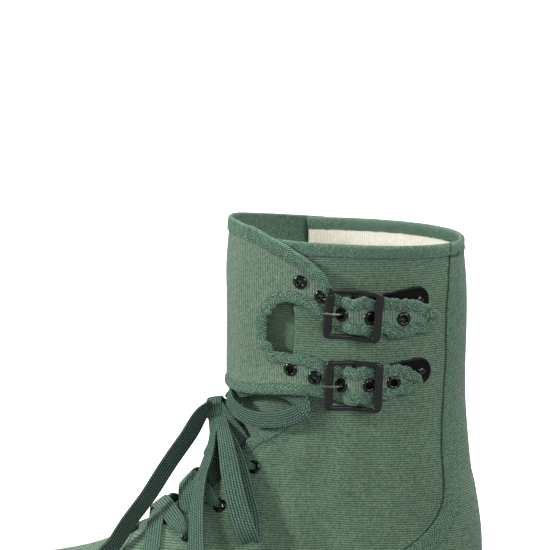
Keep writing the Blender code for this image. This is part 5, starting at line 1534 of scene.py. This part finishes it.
def sewing(soup, verts, f, normal, value, level, skip, pitch=2.9, length=2.05, r=.26, sink=.06):
    """Rows of stitches on a mesh along a level of a value."""
    rings = ((-1.0, .25), (-.86, .70), (-.55, .96), (0.0, 1.0), (.55, .96), (.86, .70), (1.0, .25))
    around = 2 * math.pi * np.arange(7) / 7
    for run in level_lines(f, value, level):
        a, b = np.array(run).T
        k = ((level - value[a]) / (value[b] - value[a]))[:, None]
        pts, nrm = verts[a] * (1 - k) + verts[b] * k, normal[a] * (1 - k) + normal[b] * k
        for _ in range(2):
            pts[1:-1] = (pts[:-2] + 2 * pts[1:-1] + pts[2:]) / 4
        way = np.concatenate([[0], np.cumsum(np.linalg.norm(np.diff(pts, axis=0), axis=1))])
        for start in np.arange(1.0, way[-1] - pitch, pitch):
            at = start + length * np.array([q for q, _ in rings]) * .5 + length * .5
            mid = np.stack([np.interp(at, way, pts[:, j]) for j in range(3)], 1)
            if skip(mid[3]):
                continue
            up = np.array([np.interp(at[3], way, nrm[:, j]) for j in range(3)])
            up /= np.linalg.norm(up)
            along = mid[-1] - mid[0]
            side = np.cross(along, up)
            size = np.linalg.norm(side)
            if size < .5:
                continue
            side /= size
            bow = np.array([sink - .34 * (q**2)**1.5 for q, _ in rings])
            ring = np.cos(around)[:, None] * side + np.sin(around)[:, None] * up
            soup.add(np.concatenate([q + up * o + r * w * ring for q, o, (_, w) in zip(mid, bow, rings)]),
                     tube_faces(len(rings), 7))


def make_stitches():
    soup = Soup()
    outer, _, f, nrm, m, d = FLAP_MESH

    def by_buckle(q):
        return q[1] < 0 and abs(q[0] - 79.7) < 17.5
    sewing(soup, outer, f, nrm, m, 1.0, by_buckle)
    outer, f, nrm, m, vamp = UPPER_MESH

    def covered(q):
        chape = q[1] < 0 and q[0] > 60 and 140 < q[2] < 215
        return chape or q[2] < 24
    sewing(soup, outer, f, nrm, m, 1.0, covered)
    sewing(soup, outer, f, nrm, vamp, -1.6, lambda q: q[2] < 24)
    soup.make("seam_stitches", [THREAD])


make_stitches()


# ------------------------------------------------------------------ buckles and eyelets
FRAME_LOW = natural_spline((-16, -14.6, -11, 0, 11, 14.6, 16), (3.9, 3.9, 3.8, 1.5, 5.4, 5.5, 5.5))
SIDE_STRETCH = 1 / 1.05


def buckle_point(b, lx, ly, off):
    """Points on a buckle: lx along the strap, ly across, off over the form."""
    lx, ly, off = (np.atleast_1d(np.asarray(a, float)) for a in (lx, ly, off))
    t = math.radians(b[3])
    x = b[1] + (lx * math.cos(t) - ly * math.sin(t)) * SIDE_STRETCH
    z = b[2] + lx * math.sin(t) + ly * math.cos(t)
    u, s = side_us(x, z)
    return point(u, s, off)


def bar_mesh(b, path, half_w, half_h, off, n=16, power=2.6, closed=False, ends=True):
    """Rounded bar along a path of (lx, ly), following the buckle's bend."""
    path = np.asarray(path, float)
    if closed:
        t = np.roll(path, -1, axis=0) - np.roll(path, 1, axis=0)
    else:
        t = np.gradient(path, axis=0)
    t /= np.linalg.norm(t, axis=1, keepdims=True)
    side = np.stack([t[:, 1], -t[:, 0]], 1)
    half_w, half_h = np.broadcast_to(half_w, len(path)), np.broadcast_to(half_h, len(path))
    a = 2 * math.pi * np.arange(n) / n
    c = np.sign(np.cos(a)) * np.abs(np.cos(a))**(2 / power)
    e = np.sign(np.sin(a)) * np.abs(np.sin(a))**(2 / power)
    xy = path[:, None] + side[:, None] * (half_w[:, None] * c[None])[..., None]
    o = np.broadcast_to(off, len(path))[:, None] + half_h[:, None] * e[None]
    v = buckle_point(b, xy[..., 0].ravel(), xy[..., 1].ravel(), o.ravel())
    return v, tube_faces(len(path), n, closed, ends)


def make_buckles():
    for b in BUCKLES:
        soup = Soup()
        hx, hy, r = 12.55, 11.75, 2.0
        loop = []
        for sx, sy, a0 in ((1, 1, 0), (-1, 1, 90), (-1, -1, 180), (1, -1, 270)):
            for k in range(7):
                a = math.radians(a0 + 90 * k / 6)
                loop.append((sx * (hx - r) + r * math.cos(a), sy * (hy - r) + r * math.sin(a)))
        loop = closed_even(np.array(loop), 1.0)
        upright = smooth((np.abs(loop[:, 0]) - (hx - 2.6)) / 2.2)
        half_w = 1.15 + .85 * upright
        half_h = 1.15 + .05 * upright
        off = FRAME_LOW(loop[:, 0]) + 1.2
        soup.add(*bar_mesh(b, loop, half_w, half_h, off, 20, 3.0, True))
        bar = np.stack([np.zeros(23), np.linspace(-11.4, 11.4, 23)], 1)
        soup.add(*bar_mesh(b, bar, 1.15, .95, FRAME_LOW(0.0) + 1.0, 14))
        y = np.concatenate([[-9.6, -9.55, -9.3], np.linspace(-8.9, 8.9, 19), [9.3, 9.55, 9.6]])
        swell = np.concatenate([[.84, .94, .99], np.ones(19), [.99, .94, .84]])
        roll = np.stack([np.full(25, -hx), y], 1)
        soup.add(*bar_mesh(b, roll, 2.3 * swell, 1.62 * swell, FRAME_LOW(-hx) + 1.2, 24, 2.2))
        frame_obj = soup.make("buckle_frame_%s_metal" % b[0], [ENAMEL], 40)
        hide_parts("buckle_frame_" + b[0])

        hole = STRAP_EYELETS[0 if b[0] == "upper" else 1][1][2]
        shift = (hole[0] - b[1]) / SIDE_STRETCH + 6.3
        path = np.array(((-1.9, 2.2), (-4.3, 2.1), (-5.4, 3.0), (-6.3, 4.7), (-7.5, 6.4),
                         (-9.4, 7.25), (-12.4, 7.3), (-15.2, 7.15)))
        path[1:5, 0] += shift
        run = np.concatenate([[0], np.cumsum(np.linalg.norm(np.diff(path, axis=0), axis=1))])
        at = np.linspace(0, run[-1], 34)
        path = np.stack([np.interp(at, run, path[:, 0]), np.interp(at, run, path[:, 1])], 1)
        for _ in range(2):
            path[1:-1] = (path[:-2] + 2 * path[1:-1] + path[2:]) / 4
        n = 14
        t = np.gradient(path, axis=0)
        t /= np.linalg.norm(t, axis=1, keepdims=True)
        up = np.stack([t[:, 1], -t[:, 0]], 1)
        r = np.full(34, 1.0)
        r[-4:] = (.98, .9, .68, .3)
        r[:3] = (.7, .9, 1.0)
        a = 2 * math.pi * np.arange(n) / n
        rows = []
        for k in range(34):
            q = path[k] + up[k] * (.62 * r[k] * np.sin(a))[:, None]
            rows.append(buckle_point(b, q[:, 0], b[6] + .68 * r[k] * np.cos(a), q[:, 1]))
        prong = new_object("buckle_prong_%s_metal" % b[0], np.concatenate(rows), tube_faces(34, n), [PRONG])
        face_out(prong)
        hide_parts("buckle_prong_" + b[0])
        make_chape(b)


def make_chape(b):
    t = math.radians(b[3])
    dx, dz = (b[4] - b[1]) / SIDE_STRETCH, b[5] - b[2]
    rx, ry = dx * math.cos(t) + dz * math.sin(t), -dx * math.sin(t) + dz * math.cos(t)
    length = math.hypot(rx, ry)
    half, nose = 7.0, 5.0
    plate = [(2.2, -half), (length - 1.5, -half)]
    plate += [(length - 1.5 + (nose + 1.5) * math.sin(a), -half * math.cos(a))
              for a in np.linspace(0, math.pi, 25)[1:-1]]
    plate += [(length - 1.5, half), (2.2, half)]
    loop = closed_even(resample(np.array(plate), .8), .7)
    tang = np.roll(loop, -1, axis=0) - np.roll(loop, 1, axis=0)
    tang /= np.linalg.norm(tang, axis=1, keepdims=True)
    n = np.stack([-tang[:, 1], tang[:, 0]], 1)
    if not inside(loop, loop[5:6] + n[5:6] * .2)[0]:
        n = -n
    extra = np.concatenate([loop + n * d for d in (.22, .55, .95, 1.35)])
    extra = extra[inside(loop, extra)]
    v, f = triangulate(loop, [], 1.2, chains=[[p] for p in extra])
    ring_ = np.concatenate([resample(loop, .25), np.zeros((len(resample(loop, .25)), 1))], 1)
    _, d = line_field(np.concatenate([v, np.zeros((len(v), 1))], 1), ring_, True)
    e, q = np.array([rx, ry]) / length, np.array([-ry, rx]) / length
    xy = v[:, :1] * e + v[:, 1:] * q
    low, high = .52, 1.47
    top = high - .38 * (1 - smooth(d / .75)) - .22 * smooth((d - .9) / .5)
    base = low + .18 * (1 - smooth(d / .5))
    outer = buckle_point(b, xy[:, 0], xy[:, 1], top)
    inner = buckle_point(b, xy[:, 0], xy[:, 1], base)
    k = len(v)
    faces = [tuple(t_) for t_ in f] + [tuple(t_[::-1] + k) for t_ in f]
    for a, c in edge_runs(f):
        faces += [(c, a, a + k), (c, a + k, c + k)]
    obj = new_object("buckle_chape_%s_metal" % b[0], np.concatenate([outer, inner]), faces, [PLATE])
    face_out(obj)
    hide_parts("buckle_chape_" + b[0])
    t = math.radians(b[3])
    x = b[1] + (rx * math.cos(t) - (ry - .3) * math.sin(t)) * SIDE_STRETCH
    z = b[2] + rx * math.sin(t) + (ry - .3) * math.cos(t)
    u, s = side_us(x, z)
    profile = ((0.0, -.35), (2.05, -.35), (2.1, .1), (2.0, .45), (1.6, .78), (1.0, .98), (.45, 1.05), (0.0, 1.06))
    v, f = turned(float(u[0]), float(s[0]), 1.3, profile)
    rivet = new_object("chape_rivet_%s_metal" % b[0], v, f, [EYELET])
    face_out(rivet)
    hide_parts("chape_rivet_" + b[0])


def surface_axes(u, s, off):
    """Origin and axes of a small piece at a height over the form."""
    def at(a, b):
        h = off(np.array([a]), np.array([b])) if callable(off) else np.array([off])
        return point(np.array([a]), np.array([b]), h)[0]
    p = at(u, s)
    e1, e2 = at(u + .8, s) - at(u - .8, s), at(u, s + .006) - at(u, s - .006)
    n = np.cross(e1, e2)
    n /= np.linalg.norm(n)
    e1 /= np.linalg.norm(e1)
    return p, e1, np.cross(n, e1), n


def turned(u, s, off, profile, sides=28, closed=False):
    """Piece turned about the form's normal; the profile holds radius and height."""
    p, e1, e2, n = surface_axes(u, s, off)
    rows, faces, m = [], [], len(profile)
    pole = [k for k, (r, _) in enumerate(profile) if r == 0.0]
    for k in range(sides):
        a = 2 * math.pi * k / sides
        d = math.cos(a) * e1 + math.sin(a) * e2
        rows += [p + d * r + n * h for r, h in profile]
    for k in range(sides):
        j = (k + 1) % sides
        for i in range(m if closed else m - 1):
            quad = [k * m + i, j * m + i, j * m + (i + 1) % m, k * m + (i + 1) % m]
            if i in pole:
                quad = [i, quad[2], quad[3]]
            elif (i + 1) % m in pole:
                quad = [quad[0], quad[1], (i + 1) % m]
            faces.append(tuple(quad))
    rows = np.array(rows)
    if pole:
        used = np.unique(np.concatenate([np.array(f) for f in faces]))
        remap = np.full(len(rows), -1)
        remap[used] = np.arange(len(used))
        rows, faces = rows[used], [tuple(remap[list(f)]) for f in faces]
    return rows, faces


EYELET_RING = ((1.75, .55), (1.95, .78), (2.35, .90), (2.8, .86), (3.2, .66), (3.5, .36), (3.62, .05),
               (3.5, -.12), (2.2, -.12), (2.1, -.5))


def make_eyelets():
    for strap, places in STRAP_EYELETS:
        for k, (x, z) in enumerate(places):
            u, s = side_us(x, z)
            base = lambda a, c: flap_low(a, c) + CANVAS_UP + .12
            v, f = turned(float(u[0]), float(s[0]), base, EYELET_RING + ((2.05, -1.9), (1.75, -1.9)), closed=True)
            name = "strap_eyelet_%s_%d" % (strap, k + 1)
            obj = new_object(name + "_metal", v, f, [EYELET])
            face_out(obj)
            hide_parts(name)
    for k, (u, lat, med) in enumerate(LACE_EYELETS):
        for side, s in (("lateral", lat), ("medial", med)):
            g = upper_fields(np.array([u]), np.array([s]))
            v, f = turned(u, s, float(g["high"][0]) + .02, EYELET_RING + ((2.05, -2.6), (1.75, -2.6)), closed=True)
            name = "lace_eyelet_%s_%d" % (side, k + 1)
            obj = new_object(name + "_metal", v, f, [EYELET])
            face_out(obj)
            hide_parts(name)


make_buckles()
make_eyelets()

# ------------------------------------------------------------------ lacing
def form_route(rows):
    """Rows of (u, s, height, half width, half thickness) on the form."""
    a = np.array(rows, float)
    return point(a[:, 0], a[:, 1], a[:, 2]), normal_at(a[:, 0], a[:, 1]), a[:, 3], a[:, 4]


def facing_s(column, u):
    line = facing_line(column)
    return float(np.interp(u, line[:, 0], line[:, 1]))


def strand(top, top_s, low, low_s, over, last=False):
    """Length from an eyelet of the upper row, over its facing and the crossing, and
    down under the facing of the lower row's eyelet; the last one goes in from above."""
    side = -1 if top_s < 0 else 1
    rows = []

    def at(f, off, half, thick):
        rows.append((top + (low - top) * f, top_s + (low_s - top_s) * f, off, half, thick))
    span = math.hypot(low - top, (low_s - top_s) * S_MM)
    at(-1.2 / span, -2.4, 1.3, .8)
    at(.2 / span, -.6, 1.5, .9)
    at(1.6 / span, 1.1, 1.9, .95)
    at(4.2 / span, 1.75, 3.0, .85)
    at(8.5 / span, 1.55, 4.6, .75)
    at(.33, 1.5, 5.0, .72)
    at(.50, 2.5 if over else .95, 5.1, .72)
    if last:
        at(.66, 1.6, 5.0, .72)
        at(1 - 8.5 / span, 1.6, 4.6, .75)
        at(1 - 4.2 / span, 1.75, 3.0, .85)
        at(1 - 1.6 / span, 1.1, 1.9, .95)
        at(1 - .2 / span, -.6, 1.5, .9)
        at(1 + 1.2 / span, -2.4, 1.3, .8)
        return rows
    at(.62, 1.6 if over else .5, 5.1, .72)
    # the place where the strand meets the other facing's edge
    column = 2 if side < 0 else 1
    cut = .8
    for f in np.linspace(.55, .97, 60):
        u, s = top + (low - top) * f, top_s + (low_s - top_s) * f
        if abs(s) >= abs(facing_s(column, u)) and s * side < 0:
            cut = f
            break
    at(max(.66, cut - 5.0 / span), -.9, 5.0, .70)
    at(cut + .5 / span, -2.35, 4.6, .55)
    at(min(cut + 5.5 / span, .97), -2.75, 3.4, .5)
    at(1.0, -2.7, 2.0, .5)
    return rows


def make_lacing():
    for k in range(len(LACE_EYELETS) - 1):
        a, b = LACE_EYELETS[k], LACE_EYELETS[k + 1]
        soup = Soup()
        last = k == len(LACE_EYELETS) - 2
        for rows in (strand(a[0], a[1], b[0], b[2], k % 2 == 0, last),
                     strand(a[0], a[2], b[0], b[1], k % 2 == 1, last)):
            pts, looks, half, thick = form_route(rows)
            v, f, at, _ = ribbon_mesh(pts, looks, half, thick)
            soup.add(v, f, at)
        if last:
            # the lowest run passes from side to side behind the facings
            rows = [(b[0], b[1], -2.3, 1.6, .5), (b[0], b[1] + .03, -2.65, 3.0, .5), (b[0], b[1] * .62, -2.7, 4.4, .5),
                    (b[0], b[1] * .3, -2.3, 5.0, .6), (b[0], 0.0, -2.0, 5.0, .6), (b[0], b[2] * .3, -2.3, 5.0, .6),
                    (b[0], b[2] * .62, -2.7, 4.4, .5), (b[0], b[2] - .03, -2.65, 3.0, .5), (b[0], b[2], -2.3, 1.6, .5)]
            pts, looks, half, thick = form_route(rows)
            v, f, at, _ = ribbon_mesh(pts, looks, half, thick)
            soup.add(v, f, at)
        obj = soup.make("lace_cross_%d_cloth" % (k + 1), [LACE])
        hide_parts("lace_cross_%d" % (k + 1))
    top = LACE_EYELETS[0]
    for name, s, column, side in (("lateral", top[1], 1, -1), ("medial", top[2], 2, 1)):
        edge = facing_s(column, 249.0)
        rows = [(top[0], s, -2.7, 2.0, .5), (246.0, s + (edge - s) * .55, -2.75, 3.6, .5),
                (248.6, edge, -2.3, 4.4, .55), (251.6, edge * .72, -.6, 4.6, .7),
                (255.0, edge * .45, 1.6, 4.2, .8), (258.6, edge * .22, 3.4, 3.6, .9), (262.0, edge * .08, 5.2, 3.0, .9)]
        pts, looks, half, thick = form_route(rows)
        v, f, at, _ = ribbon_mesh(pts, looks, half, thick)
        obj = new_object("lace_tie_%s_cloth" % name, v, f, [LACE], None, at)
        face_out(obj)
        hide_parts("lace_tie_" + name)


def lump(at, half, turn, power=.8, m=40, n=24):
    """Rounded lump with lace attributes; turn is about the Y axis, in degrees."""
    def p(v):
        return np.sign(v) * np.abs(v)**power
    f = np.linspace(0, math.pi, n + 1)[1:-1][:, None]
    g = (2 * math.pi * np.arange(m) / m)[None]
    x, y, z = p(np.sin(f)) * p(np.cos(g)), p(np.sin(f)) * p(np.sin(g)), p(np.cos(f)) * np.ones_like(g)
    loc = np.stack([x * half[0], y * half[1], z * half[2]], -1).reshape(-1, 3)
    c, s = math.cos(math.radians(turn)), math.sin(math.radians(turn))
    v = np.stack([loc[:, 0] * c - loc[:, 2] * s, loc[:, 1], loc[:, 0] * s + loc[:, 2] * c], 1) + at
    faces = [tuple(range(m)), tuple((n - 2) * m + j for j in range(m))]
    for i in range(n - 2):
        faces += [(i * m + j, i * m + (j + 1) % m, (i + 1) * m + (j + 1) % m, (i + 1) * m + j) for j in range(m)]
    t = np.arctan2(loc[:, 1], loc[:, 0]) * half[0]
    return v, faces, {"lace_t": t, "lace_w": loc[:, 2] / half[2]}


def make_knot():
    soup = Soup()
    soup.add(*lump(KNOT_AT, (5.4, 4.9, 4.9), 8.0))
    # wrap band: once round the knot from top to bottom
    lean = math.radians(-80.0)
    along = np.array([math.cos(lean), -.10, math.sin(lean)])
    along /= np.linalg.norm(along)
    out = np.array([-.25, -.92, .12])
    out -= along * out.dot(along)
    out /= np.linalg.norm(out)
    a = np.linspace(-1.05 * math.pi, 1.05 * math.pi, 60)
    centre = KNOT_AT + np.array([1.0, 0.0, -.4])
    r1, r2 = 6.6, 5.8
    pts = np.array([centre + along * r1 * math.sin(b) + out * (r2 * math.cos(b)) for b in a])
    looks = np.array([along * math.sin(b) / r1 + out * math.cos(b) / r2 for b in a])
    half = np.interp(np.abs(a), (0, 1.2, 2.2, 3.3), (4.5, 4.3, 3.8, 2.6))
    v, f, at, _ = ribbon_mesh(pts, looks, half, np.full(60, .75), step=.8)
    soup.add(v, f, at)
    obj = soup.make("lace_knot_cloth", [LACE])
    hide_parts("lace_knot")


make_lacing()
make_knot()

# ------------------------------------------------------------------ stage
def floor_look():
    L = Look("floor_paper_glow")
    where = L.where()
    fine = L.noise(where, 60.0, 3.0)
    axes = L.xyz(where)
    far = L.op("SQRT", L.op("ADD", L.op("POWER", axes[0], 2.0), L.op("POWER", axes[1], 2.0)))
    # away from the boot and behind it the floor turns pale and glows, painted light that keeps the backdrop white; near
    # the boot it is dark grey, which cuts its bounce light
    lit = L.span(far, .14, .34)
    behind = L.span(axes[1], .05, .30)
    colour = L.mix(L.op("MULTIPLY", lit, behind), L.mix(fine, (.20, .20, .20), (.24, .24, .24)), (.62, .62, .62))
    glow = L.op("MULTIPLY", L.op("MULTIPLY", lit, behind), 1.0)
    return L.set(Base_Color=colour, Roughness=.9, Specular_IOR_Level=.1,
                 Emission_Color=(1.0, 1.0, 1.0), Emission_Strength=glow,
                 Normal=L.bump(fine, .02 * MM))


def make_stage():
    mesh = bpy.data.meshes.new("floor")
    mesh.from_pydata([(-14, -8, 0), (14, -8, 0), (14, 20, 0), (-14, 20, 0)], [], [(0, 1, 2, 3)])
    mesh.materials.append(floor_look())
    floor = bpy.data.objects.new("floor", mesh)
    scene.collection.objects.link(floor)
    world = bpy.data.worlds.new("studio_world")
    world.use_nodes = True
    world.node_tree.nodes["Background"].inputs[0].default_value = (1, 1, 1, 1)
    world.node_tree.nodes["Background"].inputs[1].default_value = .10
    scene.world = world
    for name, where, size, power in (("key_light", (-1.92, -.50, .95), .40, 60.0),
                                     ("front_light", (.45, -1.85, .80), .7, 14.0),
                                     ("top_light", (.25, .30, 2.0), 1.0, 60.0),
                                     ("rear_light", (.9, 1.2, 1.2), 1.2, 6.0),
                                     ("right_light", (1.35, -1.25, .85), .9, 20.0)):
        data = bpy.data.lights.new(name, "AREA")
        data.shape, data.size, data.energy = "DISK", size, power
        obj = bpy.data.objects.new(name, data)
        scene.collection.objects.link(obj)
        obj.location = where
        aim = Vector((.03, 0, .14)) - Vector(where)
        obj.rotation_mode = "QUATERNION"
        obj.rotation_quaternion = aim.to_track_quat("-Z", "Y")


make_stage()
